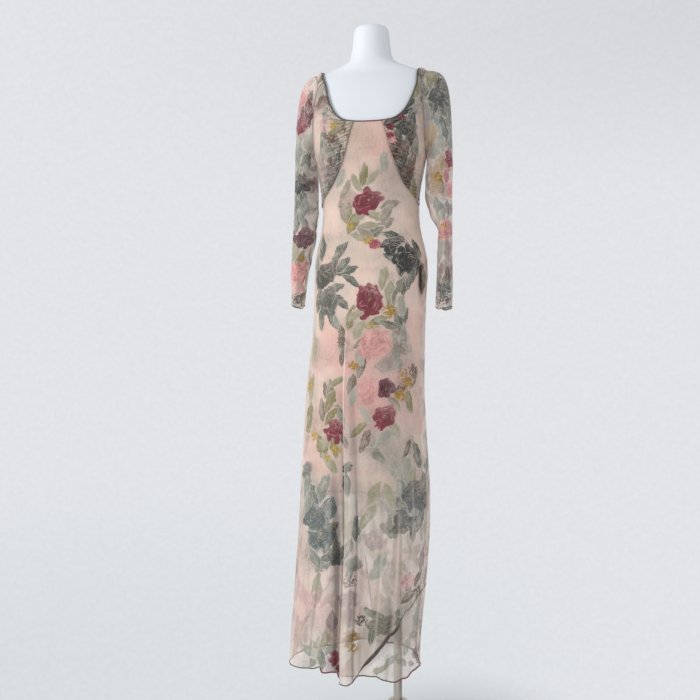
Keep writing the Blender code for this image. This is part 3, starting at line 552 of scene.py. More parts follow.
def nearMotif(at, narrow):  # 1 where the cloth is within a motif's reach and close to its plane, 0 elsewhere
    near = addNode("SeparateXYZ", at.outputs["Vector"]).outputs
    level = addNode("VectorMath", at.outputs["Vector"], (1.0, narrow, 0.0), operation="MULTIPLY")
    length = addNode("VectorMath", level, operation="LENGTH")
    between = addNode("Math", near["Z"], length, operation="SUBTRACT")
    inPlane = addNode("Math", between, 0.14, operation="LESS_THAN")
    inReach = addNode("Math", near["Z"], 1.15, operation="LESS_THAN")
    return addNode("Math", inPlane, inReach, operation="MULTIPLY")


# long pointed leaves in three layers, one half darker, with pale veins and outline
for layer in ("leafLow", "leafHigh", "leafTop"):
    at = addNode("Attribute", attribute_name=layer)
    tint = addNode("Attribute", attribute_name=layer + "Tint")
    warped = addNode("VectorMath", drift, (0.20, 0.32, 0.0), at.outputs["Vector"], operation="MULTIPLY_ADD")
    axes = addNode("SeparateXYZ", warped).outputs
    square = addNode("Math", axes["X"], axes["X"], operation="MULTIPLY")
    belly = addNode("Math", square, -0.36, 0.36, operation="MULTIPLY_ADD")
    taper = addNode("Math", axes["X"], -0.10, belly, operation="MULTIPLY_ADD")
    across = addNode("Math", axes["Y"], operation="ABSOLUTE")
    inside = addNode("Math", taper, across, operation="SUBTRACT")
    shape = addNode("MapRange", inside, 0.0, 0.03, interpolation_type="SMOOTHSTEP")
    close = nearMotif(at, 2.38)
    mask = addNode("Math", shape, close, operation="MULTIPLY")
    halo = addNode("MapRange", inside, -0.07, -0.02, 0.0, 0.45, interpolation_type="SMOOTHSTEP")
    haloNear = addNode("Math", halo, close, operation="MULTIPLY")
    half = addNode("MapRange", axes["Y"], -0.02, 0.02, 0.0, 0.15)
    vein = addNode("MapRange", across, 0.010, 0.035, 0.50, 0.0)
    rib = addNode("Math", across, -1.3, axes["X"], operation="MULTIPLY_ADD")
    ribWave = addNode("Math", rib, 24.0, operation="MULTIPLY")
    ribs = addNode("Math", ribWave, operation="SINE")
    ribTone = addNode("MapRange", ribs, 0.4, 1.0, 0.0, 0.30)
    light = addNode("Math", vein, ribTone, operation="MAXIMUM")
    lit = addNode("Math", light, half, operation="ADD")
    pool = addNode("MapRange", pools, 0.35, 0.65, -0.20, 0.22)
    inked = addNode("Math", lit, pool, operation="ADD", use_clamp=True)
    leafTone = addNode("Mix", inked, tint, linearColor("#CFCAB8"))
    ringed = addNode("Mix", haloNear, paint, linearColor("#F0E4DA"))
    paint = addNode("Mix", mask, ringed, leafTone)
    covered = addNode("Math", covered, mask, operation="MAXIMUM")

# full-blown roses: four rounds of lobed petals, each pale at its rim and dark where it goes under the next;
# the tint's alpha says how full the dye is, low for flowers that are little more than an outline
at = addNode("Attribute", attribute_name="bloom")
tint = addNode("Attribute", attribute_name="bloomTint")
bloomDrift = addNode("VectorMath", raggedShift, (0.38, 0.38, 0.0), at.outputs["Vector"],
                     operation="MULTIPLY_ADD")
warped = addNode("VectorMath", looseShift, (1.15, 1.15, 0.0), bloomDrift, operation="MULTIPLY_ADD")
close = nearMotif(at, 1.0)
broken = addNode("MapRange", pools, 0.44, 0.56, 0.10, 1.25)
inkFold = addNode("MapRange", pools, 0.35, 0.65, 0.84, 1.20)
deepTint = addNode("VectorMath", tint, Scale=0.60, operation="SCALE")
paleTint = addNode("Mix", 0.46, tint, linearColor("#F3D9CE"))
lean = addNode("SeparateXYZ", warped).outputs
lifted = addNode("MapRange", lean["X"], -0.1, 0.8, 0.0, 0.55, interpolation_type="SMOOTHSTEP")
sideTone = addNode("Mix", lifted, tint, paleTint)
bloomMask = None
for reach, lobes, phase, aside, width in chiffon["petals"]:
    moved = addNode("VectorMath", warped, (-aside, -aside * 0.6, 0.0), operation="ADD")
    flat = addNode("VectorMath", moved, (1.0, 1.0, 0.0), operation="MULTIPLY")
    radius = addNode("VectorMath", flat, operation="LENGTH")
    axes = addNode("SeparateXYZ", moved).outputs
    turn = addNode("Math", axes["Y"], axes["X"], operation="ARCTAN2")
    petals = addNode("Math", turn, lobes, phase, operation="MULTIPLY_ADD")
    petalWave = addNode("Math", petals, operation="SINE")
    bulge = addNode("Math", petalWave, operation="ABSOLUTE")
    edge = addNode("Math", bulge, reach * 0.20, reach * 0.80, operation="MULTIPLY_ADD")
    inside = addNode("Math", edge, radius, operation="SUBTRACT")
    shape = addNode("MapRange", inside, 0.0, 0.03, interpolation_type="SMOOTHSTEP")
    under = addNode("MapRange", inside, 0.02, width, 0.0, 1.0)
    notch = addNode("MapRange", bulge, 0.03, 0.24, 0.45, 0.0)
    dark = addNode("Math", under, notch, operation="MAXIMUM")
    rim = addNode("MapRange", inside, 0.02, 0.08, 0.75, 0.0)
    petal = addNode("Mix", dark, sideTone, deepTint)
    rimShare = addNode("Math", rim, broken, operation="MULTIPLY")
    rimmed = addNode("Mix", rimShare, petal, paleTint)
    if bloomMask is None:
        bloomMask = addNode("Math", shape, close, operation="MULTIPLY")
        bloomTone = rimmed
    else:
        bloomTone = addNode("Mix", shape, bloomTone, rimmed)
stamen = addNode("MapRange", radius, 0.03, 0.11, 0.6, 0.0)
centred = addNode("Mix", stamen, bloomTone, linearColor("#E0C398"))
inked = addNode("VectorMath", centred, Scale=inkFold, operation="SCALE")
full = addNode("Math", bloomMask, tint.outputs["Alpha"], operation="MULTIPLY")
paint = addNode("Mix", full, paint, inked)
covered = addNode("Math", covered, full, operation="MAXIMUM")

# sprays of small dots, like mimosa: cells 5 mm across, thinning towards the spray's edge
at = addNode("Attribute", attribute_name="spray")
tint = addNode("Attribute", attribute_name="sprayTint")
dots = addNode("TexVoronoi", spot["Object"], Scale=190.0)
near = addNode("SeparateXYZ", at.outputs["Vector"]).outputs
thin = addNode("MapRange", near["Z"], 0.4, 1.0, 0.66, 0.12)
dot = addNode("Math", dots, thin, operation="LESS_THAN")
close = addNode("Math", near["Z"], 1.0, operation="LESS_THAN")
mask = addNode("Math", dot, close, operation="MULTIPLY")
dotTone = addNode("MapRange", inks, 0.3, 0.7, 0.7, 1.25)
dotColor = addNode("VectorMath", tint, Scale=dotTone, operation="SCALE")
paint = addNode("Mix", mask, paint, dotColor)
covered = addNode("Math", covered, mask, operation="MAXIMUM")

# painted shade and painted highlight: the attribute's X darkens the fold valleys, gathers, creases and tuck
# as shade falls there, and the doubled cloth along the seams; its Y paints a pale cream highlight on the fold
# crests; where either lies the cloth also shows less through
shadeAttribute = addNode("Attribute", attribute_name="paintedShadeAndDoubling")
shadeParts = addNode("SeparateXYZ", shadeAttribute.outputs["Vector"]).outputs
deeper = addNode("MapRange", shadeParts["X"], 0.0, 1.6, 1.0, 0.14)
litShare = addNode("Math", shadeParts["Y"], 0.7, operation="MULTIPLY")
litPaint = addNode("Mix", litShare, paint, linearColor("#FBEFE6"))
shadedPaint = addNode("VectorMath", litPaint, Scale=deeper, operation="SCALE")

# crinkle of the thin silk: long fine threads down the cloth, 3 mm apart
slub = addNode("Mapping", Vector=spot["Object"], Scale=(330.0, 330.0, 22.0))
streaks = addNode("TexNoise", slub, Scale=1.0, Detail=2.0)
veil = addNode("MapRange", streaks, 0.3, 0.7, -0.02, 0.02)
solid = addNode("MapRange", covered, 0.0, 1.0, chiffon["groundAlpha"], chiffon["printAlpha"])
layers = addNode("Math", shadeParts["X"], shadeParts["Y"], operation="ADD")
thicker = addNode("Math", layers, 0.25, veil, operation="MULTIPLY_ADD")
alpha = addNode("Math", solid, thicker, operation="ADD", use_clamp=True)
dent = addNode("Bump", Height=streaks, Strength=0.10, Distance=0.0008)
setInputs(shader, {"Base Color": shadedPaint, "Alpha": alpha, "Normal": dent,
                   "Roughness": chiffon["roughness"], "Specular IOR Level": 0.2, "Sheen Weight": 0.12})
print("materials ready")


# where the printed flowers and leaves lie

dyes = {
    "wine": "#93404F", "plum": "#70394A", "rose": "#BE5F6C", "pink": "#ECA8A4", "blush": "#E6BBB4",
    "teal": "#474E4B", "slate": "#696C66", "mist": "#8E928A", "fog": "#ACAA9F", "mauve": "#A88F92",
    "brown": "#7C665A", "olive": "#8F865E", "sage": "#A9A388", "fern": "#757665", "mustard": "#B58E3A",
    "lemon": "#BFA455", "sand": "#B99A77", "taupe": "#9F9182", "crimson": "#9B3149", "river": "#6F7C78",
    "stone": "#7B7D77", "cream": "#EBDDCF",
}
# x and height in mm, size in mm, turn in degrees, dye, how full the dye is (1 when left out)
frontBlooms = (
    (3, 1367, 46, 20, "wine"), (5, 1119, 45, 75, "wine"), (104, 1226, 43, 10, "teal"),
    (74, 1254, 34, 50, "teal"), (-108, 1180, 44, 40, "slate"), (-100, 1120, 44, 80, "stone"),
    (24, 1006, 52, 30, "pink", 0.75), (6, 890, 42, 80, "pink", 0.6), (52, 898, 30, 15, "plum"),
    (48, 826, 38, 50, "wine"), (-76, 797, 34, 60, "wine"), (-126, 578, 50, 25, "river"),
    (-110, 538, 46, 60, "river"), (-68, 488, 30, 70, "stone"), (52, 740, 54, 10, "fog", 0.45),
    (124, 625, 46, 55, "stone"), (102, 580, 40, 15, "stone"), (62, 560, 32, 85, "fern", 0.7),
    (26, 528, 34, 35, "mauve", 0.6), (-40, 385, 28, 5, "mauve", 0.8), (-36, 292, 22, 45, "sand"),
    (44, 322, 38, 20, "fern", 0.85), (82, 1004, 38, 65, "fog", 0.7), (60, 960, 36, 20, "fog", 0.7),
    (-42, 1372, 36, 15, "taupe", 0.6), (-156, 690, 30, 30, "mist"), (104, 420, 26, 0, "blush"),
    (-128, 372, 30, 10, "blush", 0.6), (-54, 1000, 26, 0, "fog", 0.45), (20, 1258, 18, 0, "rose"),
    (-44, 706, 18, 40, "teal"), (-72, 232, 20, 70, "crimson"), (-60, 214, 14, 70, "crimson"),
    (-25, 470, 26, 0, "mist", 0.8), (88, 930, 34, 0, "blush", 0.7),
)
frontLeaves = (
    (58, 1143, 32, 84, "sage"), (86, 1106, 32, 100, "fog"), (92, 1034, 32, 84, "mist"),
    (82, 968, 30, 95, "mist"), (-126, 1130, 38, 82, "slate"), (-86, 1212, 36, 70, "slate"),
    (-132, 1176, 34, 100, "slate"), (-74, 1150, 30, 10, "slate"), (-92, 1088, 32, -84, "slate"),
    (-112, 1100, 34, -100, "mist"), (60, 1262, 30, 20, "teal"), (122, 1256, 30, 120, "teal"),
    (124, 1206, 30, 75, "teal"), (84, 1204, 32, 100, "slate"), (62, 1228, 28, 160, "slate"),
    (-60, 1338, 32, 120, "taupe"), (-52, 1398, 32, 60, "taupe"), (-18, 1330, 28, 30, "sage"),
    (28, 1330, 30, -20, "sage"), (-44, 1342, 28, 95, "olive"), (52, 1338, 30, 50, "taupe"),
    (24, 1288, 28, 30, "fern"), (-8, 1290, 26, 150, "taupe"), (-24, 1084, 30, 40, "sage"),
    (12, 1296, 26, 60, "sage"), (34, 1072, 30, 20, "olive"), (52, 1060, 28, 160, "fern"),
    (22, 1056, 28, 110, "sage"), (78, 1062, 30, 120, "slate"), (-150, 598, 40, 88, "mist"),
    (-98, 600, 40, 60, "slate"), (-140, 530, 38, 100, "mist"), (-92, 552, 36, 20, "fern"),
    (-104, 508, 36, -50, "slate"), (-126, 508, 36, -96, "mist"), (-82, 484, 30, 20, "slate"),
    (84, 620, 36, 150, "slate"), (140, 660, 38, 84, "slate"), (92, 652, 36, 110, "mist"),
    (134, 574, 36, 60, "slate"), (84, 556, 36, -160, "fern"), (112, 546, 34, -80, "slate"),
    (62, 600, 34, 130, "fog"), (24, 640, 44, 62, "sage"), (72, 700, 40, 110, "fog"),
    (126, 736, 36, 104, "slate"), (104, 752, 26, 60, "brown"), (50, 780, 34, 40, "fog"),
    (110, 760, 36, 70, "fog"), (30, 742, 34, 120, "fern"), (-84, 832, 30, 50, "olive"),
    (-64, 838, 28, 120, "fern"), (-98, 768, 32, 60, "sage"), (-52, 768, 28, -60, "brown"),
    (-76, 748, 30, -70, "olive"), (-88, 900, 30, 88, "fern"), (-30, 884, 28, 80, "fog"),
    (0, 838, 28, 120, "fog"), (-34, 914, 30, 70, "brown"), (-14, 980, 30, 100, "fog"),
    (132, 820, 36, 88, "blush"), (118, 930, 30, 70, "brown"), (22, 300, 28, 70, "fern"),
    (56, 352, 30, 110, "fog"), (84, 326, 30, 130, "fern"), (-104, 240, 30, 100, "fern"),
    (-128, 262, 30, 50, "fog"), (-100, 280, 28, 80, "sage"), (-36, 350, 30, 90, "mauve"),
    (-30, 462, 30, 80, "slate"), (-38, 512, 30, 70, "fern"), (130, 300, 34, 96, "mist"),
    (106, 420, 30, 80, "brown"), (128, 380, 34, 100, "brown"), (144, 430, 34, 84, "mauve"),
    (-66, 1244, 42, 52, "slate"), (-118, 1262, 40, 98, "slate"), (-134, 1215, 36, 80, "mist"),
    (-45, 1192, 34, 12, "slate"), (-36, 1165, 28, -30, "slate"), (-58, 1212, 30, 40, "slate"),
    (-62, 1112, 32, -40, "slate"), (-84, 1068, 36, -62, "mist"), (-120, 1078, 32, 100, "slate"),
    (44, 1180, 32, 82, "sage"), (88, 1152, 46, 62, "fern"), (110, 1176, 32, 70, "slate"),
    (64, 1126, 32, 75, "olive"), (74, 1090, 28, 40, "sage"), (-30, 1316, 34, 58, "olive"),
    (46, 1312, 34, 28, "taupe"), (64, 1362, 30, 25, "taupe"), (10, 1304, 28, 0, "sage"),
    (64, 1282, 32, 165, "teal"), (-20, 1278, 30, 175, "sage"), (-37, 1080, 36, 80, "olive"),
    (-14, 1050, 32, 60, "sage"), (-62, 1035, 32, 95, "brown"), (-88, 872, 34, 70, "olive"),
    (-100, 890, 30, 110, "brown"), (-112, 850, 32, 95, "brown"), (-66, 918, 26, 40, "olive"),
    (-56, 985, 28, 78, "brown"), (-112, 752, 40, 108, "olive"), (-92, 716, 34, 130, "sage"),
    (98, 712, 52, 88, "fog", 0.6), (146, 706, 42, 62, "mist"), (116, 680, 36, 80, "sage"),
    (-148, 650, 50, 86, "mist"), (-108, 652, 50, 66, "mist"), (-132, 625, 42, 100, "slate"),
    (-46, 668, 34, 96, "teal"), (-44, 606, 30, 98, "sage"), (-84, 600, 34, 80, "river"),
    (-86, 530, 38, -60, "fern"), (-98, 466, 40, 42, "mist"), (-132, 480, 34, 130, "mist"),
    (-118, 402, 48, 84, "sage"), (38, 470, 44, 64, "fog"), (12, 592, 40, 60, "sage"),
    (-40, 556, 32, 75, "sage"), (108, 388, 32, 30, "brown"), (136, 480, 38, 80, "mauve"),
    (128, 430, 28, 50, "brown"), (-112, 262, 40, 88, "sage"), (-142, 250, 34, 160, "fog"),
    (-88, 252, 32, 25, "fog"), (-122, 236, 30, 60, "fern"), (-80, 330, 32, 95, "mauve"),
    (72, 800, 30, 120, "sage"), (2, 772, 34, 70, "brown"), (-14, 800, 30, 40, "olive"),
    (92, 1074, 34, 66, "slate"), (76, 1030, 30, 100, "taupe"), (-8, 955, 32, 70, "brown"),
    (-8, 1018, 28, 40, "brown"), (-66, 1430, 30, 60, "fog"), (-4, 1436, 32, 84, "olive"),
    (20, 1424, 26, 50, "sage"), (-26, 1412, 28, 120, "sage"), (48, 1464, 30, 95, "fog"),
    (-140, 1000, 42, 92, "sage"), (-144, 905, 40, 88, "sage"), (-150, 830, 44, 86, "olive"),
    (-20, 560, 34, 84, "slate"), (60, 640, 36, 110, "sage"), (20, 350, 32, 150, "fern"),
    (122, 594, 28, 80, "mist"), (-90, 512, 30, 60, "slate"), (136, 1180, 44, 88, "brown"),
    (92, 908, 34, 60, "brown"), (106, 872, 34, 100, "olive"), (70, 866, 28, 130, "taupe"),
    (72, 338, 32, 50, "fern"), (120, 340, 30, 70, "fog"), (100, 275, 34, 100, "fog"),
    (60, 230, 30, 40, "fog"),
)
frontSprays = (
    (-42, 1308, 16, 0, "lemon"), (4, 1268, 20, 0, "lemon"), (60, 1090, 24, 0, "mustard"),
    (12, 1056, 15, 0, "lemon"), (-30, 958, 22, 0, "mustard"), (86, 880, 26, 0, "mustard"),
    (104, 912, 24, 0, "mustard"), (114, 946, 24, 0, "brown"), (98, 930, 24, 0, "mustard"),
    (-96, 726, 14, 0, "lemon"), (-28, 268, 24, 0, "mustard"), (-22, 296, 20, 0, "mustard"),
    (-74, 745, 22, 0, "lemon"), (-134, 780, 20, 0, "lemon"), (-150, 905, 22, 0, "lemon"),
    (-36, 430, 26, 0, "brown"), (20, 640, 18, 0, "sage"), (-60, 1018, 20, 0, "brown"),
    (-10, 330, 22, 0, "brown"), (84, 1000, 22, 0, "taupe"),
)
bustBlooms = (
    (-84, 1436, 26, 30, "mauve", 0.6), (-86, 1500, 34, 15, "fog", 0.7), (-64, 1548, 22, 60, "olive", 0.7),
    (84, 1486, 34, 40, "brown", 0.8), (64, 1546, 11, 10, "wine"), (96, 1432, 32, 70, "brown", 0.7),
    (106, 1540, 30, 0, "teal", 0.85), (-112, 1620, 24, 0, "brown", 0.6), (62, 1522, 13, 0, "rose"),
    (-104, 1560, 24, 0, "blush", 0.6),
)
bustLeaves = (
    (88, 1560, 30, 35, "fern"), (84, 1520, 30, 100, "slate"), (98, 1480, 34, 80, "teal"),
    (80, 1470, 30, 95, "slate"), (116, 1578, 30, 60, "slate"), (104, 1650, 30, 70, "olive"),
    (122, 1610, 32, 85, "fog"), (88, 1420, 30, 60, "brown"), (-84, 1536, 28, 60, "olive"),
    (-70, 1510, 28, 100, "brown"), (-92, 1470, 30, 80, "brown"), (-76, 1440, 28, 70, "slate"),
    (-108, 1530, 32, 85, "slate"), (-116, 1470, 34, 96, "mist"), (-122, 1628, 28, 70, "brown"),
    (-112, 1680, 26, 60, "brown"), (-90, 1500, 28, 120, "slate"), (-114, 1410, 32, 96, "fog"),
    (-100, 1628, 28, 130, "mauve"), (118, 1404, 30, 100, "olive"), (70, 1560, 26, 20, "teal"),
    (108, 1512, 34, 70, "teal"), (112, 1462, 38, 85, "brown"), (72, 1450, 32, 110, "slate"),
    (122, 1500, 38, 90, "slate"), (-112, 1500, 34, 80, "slate"), (-112, 1440, 36, 75, "mauve"),
    (-70, 1470, 30, 60, "slate"), (-120, 1660, 32, 80, "fog"), (126, 1660, 34, 80, "fog"),
    (92, 1590, 32, 30, "teal"), (94, 1400, 32, 60, "brown"), (-96, 1404, 34, 75, "slate"),
    (-104, 1590, 30, 100, "fog"), (-122, 1700, 24, 70, "fern"), (104, 1616, 30, 60, "teal"),
    (122, 1690, 34, 60, "fern"), (132, 1640, 34, 110, "slate"), (116, 1560, 34, 84, "teal"),
    (92, 1546, 30, 130, "slate"), (-96, 1450, 32, 120, "slate"), (-104, 1490, 34, 50, "taupe"),
    (-88, 1420, 30, 100, "river"),
)
bustSprays = (
    (108, 1388, 18, 0, "lemon"), (-80, 1556, 18, 0, "lemon"), (70, 1512, 16, 0, "pink"),
    (86, 1570, 18, 0, "wine"), (-88, 1520, 26, 0, "brown"), (106, 1440, 26, 0, "brown"),
)
sleeveBlooms = (
    (-180, 1576, 30, 20, "wine"), (-168, 1286, 36, 60, "plum"), (-190, 1196, 34, 30, "pink"),
    (-184, 1640, 34, 0, "pink"), (-176, 1424, 34, 45, "teal"), (204, 1484, 24, 30, "crimson"),
    (206, 1402, 32, 15, "pink"), (196, 1296, 30, 60, "pink"), (186, 1646, 44, 30, "slate"),
    (204, 1350, 22, 0, "mauve", 0.7), (172, 1400, 26, 0, "sand", 0.6),
)
sleeveLeaves = (
    (-172, 1600, 36, 100, "plum"), (-192, 1606, 32, 80, "wine"), (-154, 1606, 40, 94, "plum"),
    (-172, 1410, 44, 92, "slate"), (-192, 1380, 40, 85, "slate"), (-160, 1440, 38, 95, "fog"),
    (-166, 1320, 34, 100, "mist"), (-190, 1330, 34, 80, "slate"), (-150, 1640, 30, 80, "brown"),
    (-176, 1500, 40, 100, "mist"), (-160, 1480, 36, 80, "slate"), (-186, 1550, 30, 95, "fog"),
    (164, 1652, 36, 110, "slate"), (206, 1656, 34, 95, "teal"), (188, 1660, 34, 60, "teal"),
    (150, 1680, 32, 95, "fern"), (170, 1574, 40, 85, "mist"), (190, 1560, 38, 110, "slate"),
    (206, 1600, 36, 95, "slate"), (184, 1520, 36, 95, "fog"), (160, 1540, 36, 80, "sand"),
    (198, 1440, 30, 90, "rose"), (178, 1420, 34, 100, "brown"), (168, 1440, 34, 80, "sand"),
    (200, 1250, 34, 95, "mauve"), (178, 1290, 30, 80, "mauve"), (198, 1180, 34, 88, "brown"),
    (182, 1160, 30, 100, "slate"), (174, 1360, 36, 100, "mist"), (186, 1330, 30, 70, "fog"),
    (-176, 1190, 30, 70, "rose"), (-196, 1160, 28, 90, "pink"), (-186, 1512, 46, 84, "mist"),
    (-170, 1474, 46, 98, "slate"), (-190, 1440, 42, 80, "slate"), (-166, 1360, 34, 70, "mist"),
    (-196, 1262, 44, 88, "sage"), (-180, 1232, 30, 60, "olive"), (158, 1692, 38, 60, "olive"),
    (196, 1690, 38, 130, "teal"), (178, 1610, 46, 160, "slate"), (200, 1592, 40, 100, "slate"),
    (204, 1540, 40, 88, "mist"), (176, 1460, 40, 75, "sand"), (198, 1352, 34, 85, "mist"),
    (168, 1500, 34, 100, "fog"), (190, 1200, 34, 80, "mauve"), (-190, 1150, 30, 80, "blush"),
    (-158, 1520, 40, 88, "fog"), (-178, 1380, 40, 88, "slate"), (182, 1250, 34, 75, "fog"),
    (176, 1676, 42, 20, "teal"), (202, 1624, 40, 130, "teal"), (164, 1628, 42, 84, "slate"),
    (148, 1660, 34, 70, "fern"), (212, 1580, 34, 92, "slate"), (194, 1704, 36, 150, "slate"),
    (172, 1704, 34, 20, "fern"),
)
sleeveSprays = (
    (-190, 1126, 20, 0, "slate"), (196, 1150, 30, 0, "slate"), (190, 1124, 26, 0, "brown"),
    (-176, 1236, 16, 0, "mustard"), (176, 1430, 22, 0, "mustard"), (190, 1310, 14, 0, "mustard"),
)


# what shows of the back panel inside the front's free edge
slitBlooms = ((118, 232, 20, 0, "mauve", 0.8), (140, 300, 26, 20, "fog", 0.5))
slitLeaves = (
    (122, 330, 36, 86, "fog"), (134, 286, 34, 96, "mist"), (104, 272, 32, 70, "fog"),
    (70, 236, 26, 30, "fog"), (48, 218, 24, 20, "sage"), (86, 226, 24, 150, "fog"),
    (130, 250, 26, 60, "mauve"), (122, 222, 26, 118, "plum"), (110, 214, 20, 160, "mauve"),
)
slitSprays = ((30, 214, 14, 0, "sage"),)

# soft washes of dye on the ground: x, height and size in mm, dye, strength
washRows = (
    (-30, 1520, 60, "sand", 0.35), (40, 1480, 50, "blush", 0.45), (-90, 1440, 50, "mauve", 0.35),
    (95, 1440, 45, "brown", 0.45), (60, 1400, 45, "mauve", 0.25), (-70, 1250, 60, "slate", 0.3),
    (30, 1240, 45, "sand", 0.2), (110, 1180, 50, "blush", 0.35), (-60, 1010, 60, "blush", 0.6),
    (34, 990, 80, "pink", 0.7), (70, 970, 40, "slate", 0.45), (16, 880, 60, "pink", 0.7),
    (-26, 962, 46, "pink", 0.6), (90, 850, 55, "blush", 0.5), (30, 760, 70, "fog", 0.7),
    (95, 700, 60, "cream", 0.4), (105, 740, 40, "cream", 0.5), (-130, 620, 70, "mist", 0.6),
    (-60, 880, 40, "blush", 0.4), (-140, 830, 40, "mauve", 0.3), (110, 610, 70, "fog", 0.6),
    (20, 620, 60, "sage", 0.3), (36, 580, 55, "cream", 0.6), (-40, 600, 40, "cream", 0.4),
    (30, 530, 50, "cream", 0.5), (-30, 560, 40, "slate", 0.4), (-130, 480, 50, "sage", 0.35),
    (-10, 420, 40, "mauve", 0.25), (48, 440, 50, "cream", 0.75), (-22, 236, 40, "cream", 0.6),
    (110, 470, 60, "sand", 0.25), (120, 900, 60, "blush", 0.55), (-130, 350, 60, "blush", 0.55),
    (-60, 340, 50, "sand", 0.3), (50, 310, 50, "fern", 0.45), (110, 340, 60, "fog", 0.55),
    (-40, 260, 35, "mustard", 0.45), (-120, 235, 60, "fog", 0.5), (-70, 225, 26, "wine", 0.75),
    (80, 240, 70, "fog", 0.45), (110, 1640, 50, "fern", 0.35), (190, 1640, 60, "slate", 0.7),
    (190, 1500, 50, "sand", 0.5), (180, 1400, 50, "fog", 0.45), (200, 1290, 40, "pink", 0.5),
    (190, 1180, 50, "mauve", 0.45), (-180, 1640, 50, "pink", 0.5), (-170, 1600, 40, "plum", 0.5),
    (-170, 1530, 50, "fog", 0.5), (-180, 1440, 60, "slate", 0.65), (-180, 1330, 40, "mist", 0.45),
    (-185, 1160, 50, "blush", 0.5), (-178, 1390, 50, "slate", 0.6), (175, 1560, 50, "fog", 0.5),
    (150, 1690, 40, "fern", 0.6),
)
backWashes = ("slate", "fog", "pink", "sage", "blush", "mist", "mauve", "sand")


def layWashes(grid, seed):  # a soft bell for each wash; its shares blend the dyes and cap the strength
    points = grid.reshape(-1, 3)
    faces = ease((0.25 - gridNormals(grid).reshape(-1, 3)[:, 1]) / 0.6)  # 1 in front, 0 behind
    rng = np.random.default_rng(seed)
    behind = [(rng.uniform(-150, 150), rng.uniform(230, 1600), rng.uniform(40, 80), dye,
               rng.uniform(0.3, 0.6)) for dye in backWashes * 4]
    color = np.zeros((len(points), 3))
    total = np.full(len(points), 1e-6)
    for rows, side in ((washRows, faces), (behind, 1 - faces)):
        for x, z, size, dye, strength in rows:
            away = np.hypot(points[:, 0] * 1000 - x, points[:, 2] * 1000 - z) / size
            share = strength * np.exp(-away ** 2 * 0.9) * side
            color += share[:, None] * np.array(linearColor(dyes[dye])[:3])
            total += share
    return np.concatenate([color / total[:, None], np.minimum(total, 0.75)[:, None]], 1)


def layMotifs(grid, rows, squash, rng, fill, sizes, tints):
    # Each motif takes the flat plane that touches the cloth at its centre. Every point of the cloth then
    # gets its nearest motif's two coordinates there, in motif sizes, and its distance, with that motif's dye.
    points = grid.reshape(-1, 3)
    normals = gridNormals(grid).reshape(-1, 3)
    found = []
    seen = normals[:, 1] < -0.02  # the side that the chart is for
    for x, z, size, turn, dye, *rest in rows:
        apart = np.hypot(points[:, 0] - x / 1000, points[:, 2] - z / 1000) + (~seen) * 9
        k = int(np.argmin(apart))
        if apart[k] < 0.02:
            color = linearColor(dyes[dye])[:3] + [rest[0] if rest else 1.0]
            found.append((points[k], normals[k], size / 1000, math.radians(turn), color))
    charted = len(found)
    for k in rng.integers(0, len(points), fill * 8):
        size = rng.uniform(*sizes) / 1000
        clear = all(np.linalg.norm(points[k] - old[0]) > 0.95 * (size + old[2]) for old in found)
        clear = clear and not (seen[k] and charted)  # the charted side gets no more
        if clear and fill > 0:
            dye = tints[int(rng.integers(0, len(tints)))]
            if points[k, 2] < 0.62 and rng.uniform() < 0.75:  # paler where the skirt hangs unlined
                dye = ("fog", "sage", "blush", "mist")[int(rng.integers(0, 4))]
            color = linearColor(dyes[dye])[:3] + [1.0 if rng.uniform() < 0.7 else 0.6]
            found.append((points[k], normals[k], size, rng.uniform(0, tau), color))
            fill -= 1
    place = np.full((len(points), 3), 3.0)
    tint = np.zeros((len(points), 4))
    for centre, normal, size, turn, color in found:
        under = (np.abs(points - centre) < size).all(1)
        normal = unit(normal + 3 * normals[under].mean(0))
        across = unit(np.cross([0, 0, 1.0], normal))
        up = np.cross(normal, across)
        away = points - centre
        u = away @ across
        v = away @ up
        narrow = 1 - 0.28 * abs(math.sin(centre[0] * 97 + centre[2] * 61)) if squash == 1.0 else 1
        along = (u * math.cos(turn) + v * math.sin(turn)) / size
        beside = (v * math.cos(turn) - u * math.sin(turn)) / (size * narrow)
        deep = np.abs(away @ normal) / (size * 0.8 + 0.01)
        distance = np.maximum(np.hypot(along, beside / squash), deep * 0.9)
        nearer = (distance < place[:, 2]) & (place[:, 2] > 0.88)  # an earlier motif lies on top
        place[nearer] = np.stack([along, beside, distance], 1)[nearer]
        tint[nearer] = color
    return place, tint


def layPrint(grids, tables, seed, small=1.0):  # all layers of the print over a piece's grids
    leaves, sprays, blooms = tables
    roseDyes = ("wine", "teal", "pink", "slate", "mauve", "teal", "fog", "rose")
    leafDyes = ("fern", "slate", "sage", "olive", "mist", "fog", "brown", "slate")
    marks = {}
    for layer, rows, squash, share, sizes, tints in (
        ("bloom", blooms, 1.0, 26, (28, 46), roseDyes),
        ("leafLow", leaves[::3], 0.42, 80, (26, 42), leafDyes),
        ("leafHigh", leaves[1::3], 0.42, 60, (22, 36), leafDyes + ("mauve", "teal")),
        ("leafTop", leaves[2::3], 0.42, 40, (22, 34), leafDyes),
        ("spray", sprays, 1.0, 26, (14, 26), ("mustard", "lemon", "brown", "sage")),
    ):
        rng = np.random.default_rng(seed + len(layer))
        places, colors = [], []
        for grid in grids:
            tall = np.linalg.norm(np.diff(grid, axis=0), axis=2).sum(0).mean()
            span = tall * np.linalg.norm(np.diff(grid, axis=1), axis=2).sum(1).mean()
            place, tint = layMotifs(grid, rows, squash, rng, int(share * span / 0.55 / small),
                                     (sizes[0] * small, sizes[1] * small), tints)
            places.append(place)
            colors.append(tint)
        marks[layer] = places
        marks[layer + "Tint"] = colors
    marks["washTint"] = [layWashes(grid, seed) for grid in grids]
    return marks


# the form and its stand

